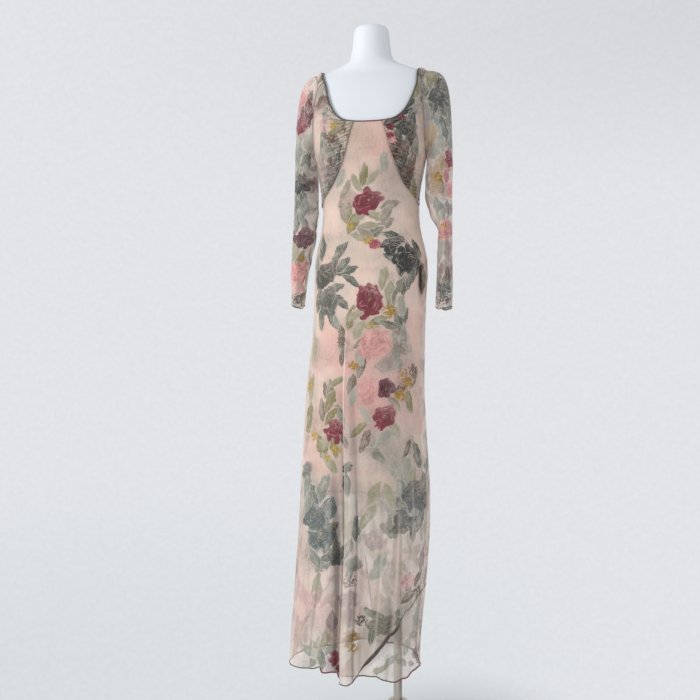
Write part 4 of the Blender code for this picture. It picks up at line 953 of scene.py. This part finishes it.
heights = np.unique(np.concatenate([np.linspace(0.900, 0.930, 8), np.linspace(0.930, 1.700, 150),
                                    np.linspace(1.700, 1.836, 60)]))
turn = np.linspace(0, tau, 120, endpoint=False)
rings = bodyPoint(heights[:, None], turn[None, :])
crown = [rings]
middle = rings[-1:].mean(1, keepdims=True)
for inward, rise in ((0.80, 0.0008), (0.55, 0.0015), (0.28, 0.0019)):  # the neck's top, a low dome
    crown.append(middle + (rings[-1:] - middle) * inward + [0, 0, rise])
makeCapped("formShell", "form_torso", formMaterial, np.concatenate(crown), (0, 0.004, 0.900),
           (0, 0.0097, 1.8380), 50)

stand = {"poleX": 0.070, "poleRadius": 0.011, "poleTop": 1.020, "baseRadius": 0.142, "baseThick": 0.008,
         "hubRadius": 0.0275, "hubTop": 0.091}
r = stand["baseRadius"]
t = stand["baseThick"]
profile = [(0, 0), (r - 0.001, 0), (r, 0.001), (r, t - 0.0025), (r - 0.0008, t - 0.0008), (r - 0.003, t),
           (0, t)]
makeLathe("standPlate", "base_plate", profile)
r = stand["hubRadius"]
t = stand["hubTop"]
profile = [(0, 0.0083), (r, 0.0083), (r, t - 0.010), (r - 0.001, t - 0.009), (r - 0.001, t - 0.004),
           (r - 0.0035, t - 0.0008), (r - 0.006, t), (0, t)]
makeLathe("poleSocket", "pole_hub", profile)
r = stand["poleRadius"]
t = stand["poleTop"]
makeLathe("poleTube", "pole", [(0, 0.0085), (r, 0.0085), (r, t - 0.001), (0, t)], 64)
print("form and stand ready")


# the dress

dress = {"cloth": 0.0004, "lining": 0.0006, "seamWide": 0.0006, "seamThick": 0.0005, "cuffRoll": 0.0009,
         "hemRoll": 0.0014, "foldRoll": 0.0019, "bindingWide": 0.0020, "bindingThick": 0.0010,
         "bindingSides": 12, "bindingInward": 0.0016}
hemFront = (  # angle and height
    (-180, 0.19), (-165, 0.196), (-150, 0.1996), (-139, 0.2024), (-127, 0.2084), (-121.5, 0.215),
    (-119.5, 0.2005), (-112, 0.1997), (-104, 0.201), (-101, 0.193), (-98, 0.187), (-93, 0.1835),
    (-87, 0.1825), (-83.5, 0.1845), (-81, 0.193), (-79, 0.196), (0, 0.19),
)
hemBack = (
    (-104, 0.19), (-90, 0.192), (-76, 0.1942), (-68, 0.198), (-59, 0.1997), (-52, 0.1893), (-46.5, 0.1843),
    (-37, 0.1807), (-28, 0.185), (-19, 0.192), (-10, 0.1905), (20, 0.198), (45, 0.204), (60, 0.206),
    (90, 0.205), (110, 0.196), (125, 0.19), (140, 0.186), (155, 0.19), (180, 0.19),
)


def hemShift(rows, angle, height):  # the hem line's rise and fall, gone 0.25 m up
    table = np.array(rows)
    at = np.interp(np.degrees(angle), table[:, 0], table[:, 1])
    return (at - cut["hem"]) * (1 - ease((height - cut["hem"]) / 0.25))


def besideTuck(height, angle):  # degrees round from the tuck at the wearer's left hip, which leans forward
    return np.degrees(angle) + 18.5 + (height - 1.18) * 40


def tuckMark(height, angle):  # how dark the tuck is: painted shade along its groove
    return 1.7 * np.exp(-(besideTuck(height, angle) / 3.2) ** 6) * np.exp(-((height - 1.178) / 0.046) ** 4)


def seamBands(grid, low, line=0.55, band=0.10):
    # darker along both sewn sides from a row upward: a thin line of stitches and the turned edge beside it
    total = np.zeros(grid.shape[:2])
    for edge in (grid[:, :1], grid[:, -1:]):
        away = np.linalg.norm(grid - edge, axis=2)
        total = np.maximum(total, line * np.exp(-(away / 0.0022) ** 2) + band * ease((0.010 - away) / 0.002))
    total[:low] = 0
    return total


def faceOut(grid, *marks):  # the grid and the marks on it, turned round if its normals point at the middle
    inward = (gridNormals(grid) * grid * [1, 1, 0]).sum() < 0
    return [each[:, ::-1] if inward else each for each in (grid, *marks)]


rowHeights = np.concatenate([np.linspace(cut["hem"], 0.42, 56), np.linspace(0.42, cut["waist"], 176)[1:]])


def drapeOut(height, angle):  # soft uneven hang lines in the loose cloth, and a few pulls above the waist
    degrees = np.degrees(angle)
    loose = ease((1.15 - height) / 0.5)
    soft = 0.0011 * np.sin(np.radians(degrees * 9 + 40 * np.sin(height * 3.1) + 90))
    soft = soft + 0.0008 * np.sin(np.radians(degrees * 17 + 70 * np.sin(height * 2.3 + 1)))
    pulls = 0.0007 * np.sin(height * 210 + degrees * 0.09) * np.exp(-((height - 1.335) / 0.05) ** 2)
    pulls = pulls + 0.0006 * np.sin(height * 150 - degrees * 0.12) * np.exp(-((height - 1.20) / 0.06) ** 2)
    apart = besideTuck(height, angle)
    ridge = 0.0035 * np.exp(-((apart + 9.5) / 4.0) ** 2) * np.exp(-((height - 1.185) / 0.055) ** 2)
    groove = 0.0022 * np.exp(-(apart / 4.2) ** 2) * np.exp(-((height - 1.17) / 0.06) ** 2)
    return soft * loose + np.maximum(pulls, 0) + ridge - groove


def shadeMark(darks, lights=None):  # how dark and how lit the cloth is, as an attribute's vectors
    lights = lights or [0 * v for v in darks]
    return [np.stack([v.ravel(), w.ravel(), 0 * v.ravel()], 1) for v, w in zip(darks, lights)]


def skirtSide(points, height):  # the level direction from the skirt's middle line to each point
    middle = np.stack([readTable(skirtRows, 4, height), readTable(skirtRows, 5, height), 0 * height], -1)
    return unit(points * [1, 1, 0] - middle)


def hangDress(domain, hem, tuck=0.0):  # dress points over heights and angles, with the small drapes added
    height, angle = domain[..., 0], domain[..., 1]
    points = dressPoint(height, angle, tuck)
    points = points + skirtSide(points, height) * drapeOut(height, angle)[..., None]
    points[..., 2] += hemShift(hem, angle, height)
    return points


# middle front, with its free edge low on the wearer's left
fixedAngles = np.radians(np.concatenate([np.linspace(-84, -116, 62), np.linspace(-116, -180, 45)[1:]]))
freeAngle = slitAngles(rowHeights)[0]
share = np.linspace(0, 1, 54)[:-1]
swung = freeAngle[:, None] + (math.radians(-84) - freeAngle[:, None]) * share[None]
angles = np.concatenate([swung, fixedAngles[None] + 0 * freeAngle[:, None]], 1)
skirt = np.stack([rowHeights[:, None] + 0 * angles, angles], -1)
across = -skirt[-1, :, 1] / math.pi
topX = cut["bodiceShift"] + 0.035 * (1 - 2 * across)
topZ = 1.5575 + 0.0015 * (1 - 2 * across) ** 2
top = np.stack([topZ, angleAt(topZ, topX, True)], -1)
chest = fillOutline(skirt[-1], top, np.concatenate([skirt[-1:, 0], seamCurve(1, 44)]),
                    np.concatenate([skirt[-1:, -1], seamCurve(-1, 44)]), across)
frontDomain = np.concatenate([skirt, chest[1:]])
height, angle = frontDomain[..., 0], frontDomain[..., 1]
grid = hangDress(frontDomain, hemFront)
# painted shade in the fold valleys, the tuck and the long fold's shaded side, with the darker seam bands
# added below; lit is the painted highlight on the fold crests
dark = np.maximum(foldMark(height, angle) + tuckMark(height, angle), valleyMark(height, angle))
# the bands lie mirrored: each sewn side is shaded at the other side's spacing of columns
dark = np.maximum(dark, seamBands(grid, len(skirt) - 1)[:, ::-1])
frontGrid, dark, lit = faceOut(grid, dark, foldLight(height, angle))
frontMarks = layPrint([frontGrid], (frontLeaves, frontSprays, frontBlooms), 11)
frontMarks["paintedShadeAndDoubling"] = shadeMark([dark], [lit])
frontPanel = makeShell("frontPanel", "front_panel", chiffonMaterial, [frontGrid], dress["cloth"],
                       marks=frontMarks)


def acrossFront(rows, count):  # a smooth line on the front panel through x and height pairs in mm
    path = smoothPath(np.array(rows) / 1000, count)
    middles = frontGrid[:, :, 2].mean(1)
    found = []
    for x, z in path:
        row = frontGrid[int(np.argmin(np.abs(middles - z)))]
        order = np.argsort(row[:, 0])
        found.append((x, np.interp(x, row[order, 0], row[order, 1]), z))
    return smoothPath(found, count)


for name, rows in (("skirtSeamLeft", ((2, 490), (12, 420), (22, 350), (40, 290))),
                   ("skirtSeamRight", ((-74, 440), (-112, 380), (-150, 318), (-164, 290)))):
    path = acrossFront(rows, 60)
    out = unit(path * [1, 1, 0] - [-0.03, -0.015, 0])
    makeTube(name, "seamEdge", path + out * 0.0003, out, 0.0005, 0.0004, 6)
print("front ready")

# side bust panels, gathered onto the curved seams
bust = {"columns": 90, "seamRows": 220, "neckRows": 110, "gatherDepth": 0.0042, "gatherPitch": 0.0120,
        "puffLength": 0.016, "puffDepth": 0.0018}
for side, name, node in ((1, "bustPanelLeft", "bust_panel_left"), (-1, "bustPanelRight", "bust_panel_right")):
    seam = seamCurve(side, bust["seamRows"])
    neck = neckCurve(neckFront, True, 400)
    if side < 0:
        neck = neck[::-1]
    keep = np.argmin(np.abs(neck[:200, 0] - seam[-1, 0])) + 1
    neck = neck[:keep][::-1]
    neck = neck[np.linspace(0, len(neck) - 1, bust["neckRows"]).astype(int)][1:]
    inner = np.concatenate([seam, neck])
    sideHeight, sideAngle = sideCurve(300, 900)
    place = np.arange(len(sideHeight))
    level = np.searchsorted(sideHeight, seam[-1, 0] - 0.022)
    seamSide = np.linspace(seam[0, 0], sideHeight[level], len(seam))
    at = np.concatenate([np.interp(seamSide, sideHeight[:level + 1], place[:level + 1]),
                         np.linspace(level, place[-1], len(neck) + 1)[1:]])
    sideAngle = np.interp(at, place, sideAngle)
    outer = np.stack([np.interp(at, place, sideHeight), -sideAngle if side > 0 else sideAngle - math.pi], 1)
    u = np.linspace(0, 1, bust["columns"]) ** 1.25
    bottom, top = (inner[end] * (1 - u[:, None]) + outer[end] * u[:, None] for end in (0, -1))
    domain = fillOutline(bottom, top, inner, outer, u)
    grid = dressPoint(domain[..., 0], domain[..., 1])
    outward = surfaceNormals(bodyPoint, domain[..., 0], domain[..., 1])
    rng = np.random.default_rng(5 + side)
    edge = grid[:, 0]
    place = np.concatenate([[0], np.cumsum(np.linalg.norm(np.diff(edge, axis=0), axis=1))])
    knots = np.cumsum(bust["gatherPitch"] * rng.uniform(0.55, 1.5, 120))
    phase = np.interp(place, knots, np.arange(120) * tau)[:, None]
    reach = (0.032 + 0.026 * np.sin(phase * 0.31 + 1) ** 2) * (1 - 0.8 * ease((edge[:, 2:] - 1.575) / 0.04))
    away = np.linalg.norm(grid - grid[:, :1], axis=2)
    beside = np.linalg.norm(grid - grid[:, -1:], axis=2)
    fade = np.exp(-(away / reach) ** 2.2) * ease(away / 0.003) * ease(beside / 0.014)
    runs = phase / 2 + 0.9 * np.sin(away * 150 + phase * 0.7) + away * 16 * np.sin(phase * 0.21)
    breaks = away * math.pi / bust["puffLength"] + 1.1 * np.sin(phase * 0.9) + 0.8 * np.sin(phase * 0.37)
    puffs = np.abs(np.sin(runs)) ** 0.7 * (0.35 + 0.65 * np.abs(np.sin(breaks)) ** 0.5)
    grid = grid + outward * (bust["gatherDepth"] * fade * puffs)[..., None]
    puff = ease(away / 0.02) * ease(beside / 0.02)
    grid = grid + outward * (bust["puffDepth"] * puff * ease((grid[..., 2] - 1.372) / 0.04))[..., None]
    # painted shade in the troughs between the gathers, and a darker line along the seam
    troughs = 2.1 * (1 - puffs) ** 1.6 * fade + 0.5 * np.exp(-(away / 0.0028) ** 2)
    grid, troughs = faceOut(grid, np.minimum(troughs, 1.4))
    marks = layPrint([grid], (bustLeaves, bustSprays, bustBlooms), 36 + side)
    marks["paintedShadeAndDoubling"] = shadeMark([troughs])
    makeShell(name, node, chiffonMaterial, [grid], dress["cloth"], marks=marks)
    line = dressPoint(seam[:, 0], seam[:, 1])
    out = surfaceNormals(bodyPoint, seam[:, 0], seam[:, 1])
    waver = 0.0003 * np.sin(np.arange(len(line)) * 0.55) * np.sin(np.arange(len(line)) * 0.13)
    makeTube(name + "Seam", "seamEdge", line + out * (0.0006 + waver[:, None]), out,
                              dress["seamWide"], dress["seamThick"])
print("bust panels ready")


def wholePieces(front, rows, starts, columns, neckRows, strapShare, armCount, strapMark):
    # a piece from side to side, in heights and angles: the grid up to its neckline, and one for each strap
    sign = -1 if front else 1
    sideHeight, sideAngle = sideCurve(24, armCount)
    spread = np.linspace(0, 1, columns)
    turned = starts[:, None] + (sign * math.pi - starts[:, None]) * spread[None]
    skirt = np.stack([rows[:, None] + 0 * turned, turned], -1)
    neck = neckCurve(neckRows, front, 600)
    place = np.linspace(0, 1, 600)
    strapRow = 24 + int(strapShare * armCount)
    strapColumns = 14

    def read(at):  # heights and angles at shares of the neckline
        return np.stack([np.interp(at, place, neck[:, 0]), np.interp(at, place, neck[:, 1])], -1)

    line = read(np.linspace(strapMark, 1 - strapMark, columns - 2 * strapColumns))
    left = np.stack([sideHeight, sign * sideAngle], -1)
    right = np.stack([sideHeight, sign * (math.pi - sideAngle)], -1)
    part = np.linspace(0, 1, strapColumns + 1)[:, None]
    baseLeft = left[strapRow] * (1 - part) + line[0] * part
    baseRight = line[-1] * (1 - part) + right[strapRow] * part
    top = np.concatenate([baseLeft[:-1], line, baseRight[1:]])
    chest = fillOutline(skirt[-1], top, left[:strapRow + 1], right[:strapRow + 1], spread)
    up = len(sideHeight) - strapRow
    part = part[None, :, 0, None]
    innerLeft = read(np.linspace(strapMark, 0, up))[:, None]
    innerRight = read(np.linspace(1 - strapMark, 1, up))[:, None]
    strapLeft = left[strapRow:, None] * (1 - part) + innerLeft * part
    strapRight = innerRight * (1 - part) + right[strapRow:, None] * part
    return np.concatenate([skirt, chest[1:]]), strapLeft, strapRight


# back, running forward inside the front's free edge
backEdge = slitAngles(rowHeights)[1]
backDomains = wholePieces(False, rowHeights, backEdge, 138, neckBack, 0.667, 48, 0.14)


def tuckIn(height, angle):  # how far the back lies inside the front near the open edge
    front = slitAngles(height)[0]
    near = ease((math.radians(14) + front - angle) / math.radians(14))
    below = ease((0.450 - height) / 0.050)
    deeper = 0.0040 + (cut["tuck"] - 0.0040) * ease((0.400 - height) / 0.06)
    return deeper * near * below


backGrids = []
backDark = []
for k, domain in enumerate(backDomains):
    height, angle = domain[..., 0], domain[..., 1]
    tuck = tuckIn(height, angle) if k == 0 else 0.0
    # painted shade in the fold valleys, left off where the back lies tucked inside the front
    grid, dark = faceOut(hangDress(domain, hemBack, tuck), foldMark(height, angle) * (1 - (tuck > 0.001)))
    backGrids.append(grid)
    backDark.append(dark)
backMarks = layPrint(backGrids, (slitLeaves, slitSprays, slitBlooms), 43)
backMarks["paintedShadeAndDoubling"] = shadeMark(backDark)
backPanel = makeShell("backPanel", "back_panel", chiffonMaterial, backGrids, dress["cloth"],
                      marks=backMarks)
print("back ready")

# slip lining
slipHeights = np.linspace(cut["slipHem"], cut["waist"], 120)
slipKinds = ((True, "slipFront", "slip_front", neckFront, 0.42, 0.30),
             (False, "slipBack", "slip_back", neckBack, 0.667, 0.14))
for front, name, node, neckRows, strapShare, mark in slipKinds:
    rows = np.array(neckRows)
    rows = rows + np.array([0.0035, -0.0035]) * ease((1.7195 - rows[:, 1:]) / 0.02)
    domains = wholePieces(front, slipHeights, 0 * slipHeights, 84, rows, strapShare, 40, mark)
    grids = [faceOut(slipPoint(domain[..., 0], domain[..., 1]))[0] for domain in domains]
    makeShell(name, node, liningMaterial, grids, dress["lining"])
print("slip ready")


# sleeves

sleeveLeftRows = (  # height, middle x, half width, half depth
    (1.44, 0.1755, 0.034, 0.06), (1.395, 0.1745, 0.0348, 0.059), (1.341, 0.1825, 0.0268, 0.057),
    (1.3155, 0.1885, 0.0215, 0.056), (1.295, 0.192, 0.0182, 0.055), (1.25, 0.1911, 0.019, 0.052),
    (1.174, 0.19, 0.0203, 0.046), (1.127, 0.1886, 0.021, 0.042), (1.103, 0.188, 0.021, 0.041),
)
sleeveRightRows = (
    (1.44, -0.1725, 0.0285, 0.06), (1.39, -0.1732, 0.0291, 0.059), (1.335, -0.1758, 0.0289, 0.058),
    (1.285, -0.1789, 0.0279, 0.056), (1.245, -0.1855, 0.0243, 0.053), (1.206, -0.19, 0.0206, 0.05),
    (1.166, -0.1932, 0.0176, 0.046), (1.127, -0.1952, 0.0158, 0.042), (1.11, -0.1956, 0.0156, 0.041),
)
sleeveCreases = (  # height, side angle, out, width, slope: soft pulls round the tube
    (1.345, 200, 0.003, 0.012, 0.02), (1.315, 170, -0.0026, 0.01, -0.015), (1.29, 220, 0.0024, 0.01, 0.018),
    (1.375, 60, 0.0024, 0.014, 0.025), (1.425, 250, 0.0022, 0.016, -0.02), (1.235, 120, 0.0018, 0.012, 0.015),
    (1.18, 300, 0.0016, 0.012, -0.015), (1.48, 40, 0.0022, 0.018, 0.03), (1.55, 300, 0.002, 0.02, -0.03),
)
sleeve = {"columns": 88, "capRows": 62, "tubeRows": 88, "middleY": 0.012, "printScale": 0.72}
for side, name, node, table in ((1, "sleeveLeft", "sleeve_left", sleeveLeftRows),
                                (-1, "sleeveRight", "sleeve_right", sleeveRightRows)):
    # the cap is a cubic that leaves the armhole sideways and arrives straight down; the rest is ovals
    around = np.linspace(0, tau, sleeve["columns"], endpoint=False)
    middle = (cut["armTop"] + cut["armBottom"]) / 2
    half = (cut["armTop"] - cut["armBottom"]) / 2 - 0.0002
    height = middle + half * np.cos(around)
    angle = -cut["armHalfAngle"] * np.sin(around)
    if side < 0:
        angle = math.pi - angle
    start = dressPoint(height, angle)
    first = np.array(table)[0]
    x = first[1] + side * first[2] * np.cos(around)
    end = np.stack([x, sleeve["middleY"] - first[3] * np.sin(around), first[0] + 0 * x], -1)
    top = (1 + np.cos(around[:, None])) / 2
    leave = start + np.array([side, 0, 0]) * ((0.050 if side > 0 else 0.030) * top + 0.006)
    arrive = end + np.array([0, 0, 1.0]) * (0.215 * top + 0.025)
    u = np.linspace(0, 1, sleeve["capRows"])[:-1, None, None]
    cap = (1 - u) ** 3 * start + 3 * u * (1 - u) ** 2 * leave + 3 * u * u * (1 - u) * arrive + u ** 3 * end
    tubeHeights = np.linspace(first[0], table[-1][0], sleeve["tubeRows"])
    middleX, width, depth = (readTable(table, c, tubeHeights)[:, None] for c in (1, 2, 3))
    x = middleX + side * width * np.cos(around)
    tube = np.stack([x, sleeve["middleY"] - depth * np.sin(around), tubeHeights[:, None] + 0 * x], -1)
    grid = np.concatenate([cap, tube])[::-1]
    normal = gridNormals(grid, True) * -side  # the left sleeve's columns run the other way round
    crease = np.zeros(grid.shape[:2])
    degrees = np.degrees(around)[None]
    for at, where, out, spread, slope in sleeveCreases:
        apart = np.radians((degrees - where * side + 180) % 360 - 180)
        above = grid[..., 2] - at - slope * np.sin(apart)
        crease += out * np.exp(-(above / spread) ** 2) * ease(1.1 - np.abs(apart) / 1.6)
    fromSeam = np.linalg.norm(grid - grid[-1:], axis=2)
    puckers = around * 27 + 0.6 * np.sin(around * 5)
    pucker = 0.0011 * np.sin(puckers) * np.exp(-fromSeam / 0.014) * ease(fromSeam / 0.004)
    hang = 0.0009 * np.sin(around * 6 + grid[..., 2] * 9) * ease((1.60 - grid[..., 2]) / 0.15)
    shown = np.minimum(top[:, 0] + 0.15, 1)
    flare = ease((grid[..., 2] - table[-1][0]) / 0.03)
    grid = grid + normal * ((crease + hang) * flare + pucker * shown)[..., None]
    cuffWave = 0.0035 * np.sin(around * 2 + 0.8) + 0.0012 * np.sin(around * 5)
    grid[..., 2] += cuffWave * (1 - ease((grid[..., 2] - table[-1][0]) / 0.05))
    grid = grid[:, ::-side]
    marks = layPrint([grid], (sleeveLeaves, sleeveSprays, sleeveBlooms), 51 + side, sleeve["printScale"])
    # a darker line along the armhole seam, and painted shade in the inward creases and between the puckers
    dark = 0.8 * np.exp(-(fromSeam / 0.0028) ** 2) + 0.35 * ease(-crease / 0.0015)
    dark = dark + 0.3 * ease(-np.sin(puckers)) * np.exp(-fromSeam / 0.012) * shown
    marks["paintedShadeAndDoubling"] = shadeMark([np.minimum(dark, 0.9)[:, ::-side]])
    makeShell(name, node, chiffonMaterial, [grid], dress["cloth"], True, marks)
    outward = gridNormals(grid, True)[0]
    makeTube(name + "CuffEdge", "greenEdge", grid[0] + [0, 0, 0.0004], outward,
                              dress["cuffRoll"], dress["cuffRoll"], looped=True)
    outward = surfaceNormals(bodyPoint, height, angle)
    makeTube(name + "ArmSeam", "seamEdge", start + outward * 0.0005, outward,
                             dress["seamWide"], dress["seamThick"], looped=True)
print("sleeves ready")


# bound neckline and rolled hems

def neckRing(rows, front, count):  # the neckline's points on the dress and their outward sides
    line = neckCurve(rows, front, count)
    return dressPoint(line[:, 0], line[:, 1]), surfaceNormals(bodyPoint, line[:, 0], line[:, 1])


frontRing, frontOut = neckRing(neckFront, True, 220)
backRing, backOut = neckRing(neckBack, False, 170)
ring = np.concatenate([frontRing, backRing[-2:0:-1]])
out = np.concatenate([frontOut, backOut[-2:0:-1]])
for _ in range(6):  # the corner at the shoulder is eased as the strip goes round it
    ring = 0.5 * ring + 0.25 * (np.roll(ring, 1, 0) + np.roll(ring, -1, 0))
    out = 0.5 * out + 0.25 * (np.roll(out, 1, 0) + np.roll(out, -1, 0))
inward = np.cross(out, unit(np.roll(ring, -1, 0) - np.roll(ring, 1, 0)))
inward *= np.sign((inward * (np.array([0, 0.006, 1.80]) - ring)).sum(1, keepdims=True))
ripple = 0.0003 * np.sin(np.arange(len(ring)) * 0.9) * np.sin(np.arange(len(ring)) * 0.17)
wine = (ring[:, 2] < 1.580) & (ring[:, 0] > -0.010) & (ring[:, 0] < 0.066)  # where it shows the wine dye
ring += inward * dress["bindingInward"] + out * (0.0003 + ripple[:, None])
binding = makeTube("neckBinding", "greenEdge", ring, out, dress["bindingWide"], dress["bindingThick"],
                   dress["bindingSides"], True, "neck_binding")
binding.data.materials.append(edgeMaterials["wineEdge"])
binding.data.polygons.foreach_set("material_index", np.repeat(wine, dress["bindingSides"]).astype(np.int32))


def edgeRun(name, edge, domain, hem, radius, flat=1.0, tuck=0.0):
    # a rolled edge along a line of heights and angles
    points = hangDress(domain, hem, tuck)
    return makeTube(name, edge, points, skirtSide(points, domain[:, 0]), radius, radius * flat)


hemAngles = np.radians(np.linspace(-79, -180, 240))
line = np.stack([0 * hemAngles + cut["hem"], hemAngles], -1)
near, far = (np.argmin(np.abs(hemAngles + math.radians(turn))) for turn in (100, 121))
hems = [edgeRun("frontHemMiddle", "greenEdge", line[:near + 1], hemFront, dress["hemRoll"]),
        edgeRun("frontHemFold", "wineEdge", line[near:far + 1], hemFront, dress["foldRoll"]),
        edgeRun("frontHemRight", "greenEdge", line[far:], hemFront, dress["hemRoll"])]
slitHeights = np.linspace(cut["hem"], 0.400, 120)
line = np.stack([slitHeights, slitAngles(slitHeights)[0]], -1)
width = 0.0010 + 0.0040 * ease((0.325 - slitHeights) / 0.02) * ease((slitHeights - 0.195) / 0.04)
banded = slitHeights < 0.325
hems += [edgeRun("freeEdgeBand", "bandEdge", line[banded], hemFront, width[banded], 0.45),
         edgeRun("freeEdgeTop", "greenEdge", line[~banded], hemFront, width[~banded])]
backAngles = np.radians(np.linspace(-104, 180, 420))
line = np.stack([0 * backAngles + cut["hem"], backAngles], -1)
tuck = tuckIn(line[:, 0], line[:, 1])
parts = ((0, 96, "greenEdge", 0.0015), (95, 190, "wineEdge", 0.0018), (189, 419, "bandEdge", 0.0026))
for k, (first, last, edge, radius) in enumerate(parts):
    part = slice(first, last + 1)
    hems.append(edgeRun("backHem" + str(k), edge, line[part], hemBack, radius, tuck=tuck[part]))
print("edges ready")


# camera, light and surroundings

view = {"turn": math.radians(9), "distance": 2.2, "height": 0.995, "aside": 0.0546, "lens": 43.5}
camera = bpy.data.objects.new("camera", bpy.data.cameras.new("camera"))
bpy.context.scene.collection.objects.link(camera)
a = view["turn"]
camera.location = (shiftX + math.sin(a) * view["distance"] - math.cos(a) * view["aside"],
                   shiftY - math.cos(a) * view["distance"] - math.sin(a) * view["aside"], view["height"])
camera.rotation_euler = (math.pi / 2, 0, a)
camera.data.lens = view["lens"]
camera.data.sensor_width = 36
bpy.context.scene.camera = camera

scene = bpy.context.scene
scene.view_settings.view_transform = "Standard"


def lookedAt():  # 1 for what is seen, also in a mirror or through the cloth, 0 for light that only falls
    path = addNode("LightPath").outputs
    seen = addNode("Math", path["Is Camera Ray"], path["Is Glossy Ray"], operation="MAXIMUM")
    return addNode("Math", seen, path["Is Transmission Ray"], operation="MAXIMUM")


# pale painted room: an even pale grey with a fine grain to look at, soft cool light on the cloth, and a
# darker side on the right for the metal to reflect
world = bpy.data.worlds.new("paleRoom")
scene.world = world
world.use_nodes = True
tree = world.node_tree
light = tree.nodes["Background"]
setInputs(light, {"Color": linearColor("#F4F7FB"), "Strength": 0.66})
spot = addNode("TexCoord").outputs
heading = addNode("SeparateXYZ", spot["Generated"]).outputs
across = addNode("MapRange", heading["X"], -0.50, 0.20)
rise = addNode("MapRange", heading["Z"], 0.15, 0.36, interpolation_type="SMOOTHSTEP")
fall = addNode("MapRange", heading["Z"], -0.12, -0.36, interpolation_type="SMOOTHSTEP")
riseShare = addNode("Math", rise, across, operation="MULTIPLY")
fallLeft = addNode("Math", 1.0, across, operation="SUBTRACT")
fallShare = addNode("Math", fall, fallLeft, operation="MULTIPLY")
upper = addNode("Mix", riseShare, linearColor("#E2E4E7"), linearColor("#D5D7DA"))
whole = addNode("Mix", fallShare, upper, linearColor("#D9DDDF"))
rough = addNode("TexNoise", spot["Generated"], Scale=200.0, Detail=5.0)
grain = addNode("MapRange", rough, 0.3, 0.7, 0.975, 1.02)
grained = addNode("VectorMath", whole, Scale=grain, operation="SCALE")
darkSide = addNode("MapRange", heading["X"], 0.25, 0.75)
darkShare = addNode("Math", darkSide, addNode("LightPath").outputs["Is Glossy Ray"], operation="MULTIPLY")
shown = addNode("Mix", darkShare, grained, linearColor("#5F5B58"))
wall = addNode("Background", shown, 1.0)
room = addNode("MixShader", lookedAt(), light, wall)
setInputs(tree.nodes["World Output"], {"Surface": room})

lamps = (("windowLight", (-3.0, -1.9, 2.3), 1.6, 84), ("fillLight", (2.6, -2.2, 1.6), 2.0, 20))
for name, place, size, power in lamps:
    lamp = bpy.data.lights.new(name, "AREA")
    lamp.size = size
    lamp.energy = power
    lamp.color = (1.0, 0.99, 0.97)
    holder = bpy.data.objects.new(name, lamp)
    scene.collection.objects.link(holder)
    holder.location = place
    aim = Vector((0, 0, 1.0)) - Vector(place)
    holder.rotation_euler = aim.to_track_quat("-Z", "Y").to_euler()

# pale painted floor: it shows round the stand, where it takes the shadow, and fades into the room further off
material, tree, shader = startMaterial("palePaintedFloor")
spot = addNode("TexCoord").outputs
apart = addNode("VectorMath", spot["Object"], (shiftX + 0.07, shiftY, 0.0), operation="DISTANCE")
farAway = addNode("MapRange", apart, 0.15, 0.60, interpolation_type="SMOOTHSTEP")
unseen = addNode("Math", lookedAt(), farAway, operation="MULTIPLY")
speck = addNode("TexNoise", spot["Object"], Scale=60.0, Detail=4.0)
tone = addNode("Mix", speck, linearColor("#E4E7EA"), linearColor("#EAECEE"))
setInputs(shader, {"Base Color": tone, "Roughness": 0.9})
clear = addNode("BsdfTransparent")
blend = addNode("MixShader", unseen, shader, clear)
setInputs(tree.nodes["Material Output"], {"Surface": blend})
mesh = bpy.data.meshes.new("studioFloor")
mesh.from_pydata([(-8, -8, 0), (8, -8, 0), (8, 8, 0), (-8, 8, 0)], [], [(0, 1, 2, 3)])
mesh.materials.append(material)
studio = bpy.data.objects.new("studioFloor", mesh)
scene.collection.objects.link(studio)
print("camera, light and surroundings ready")
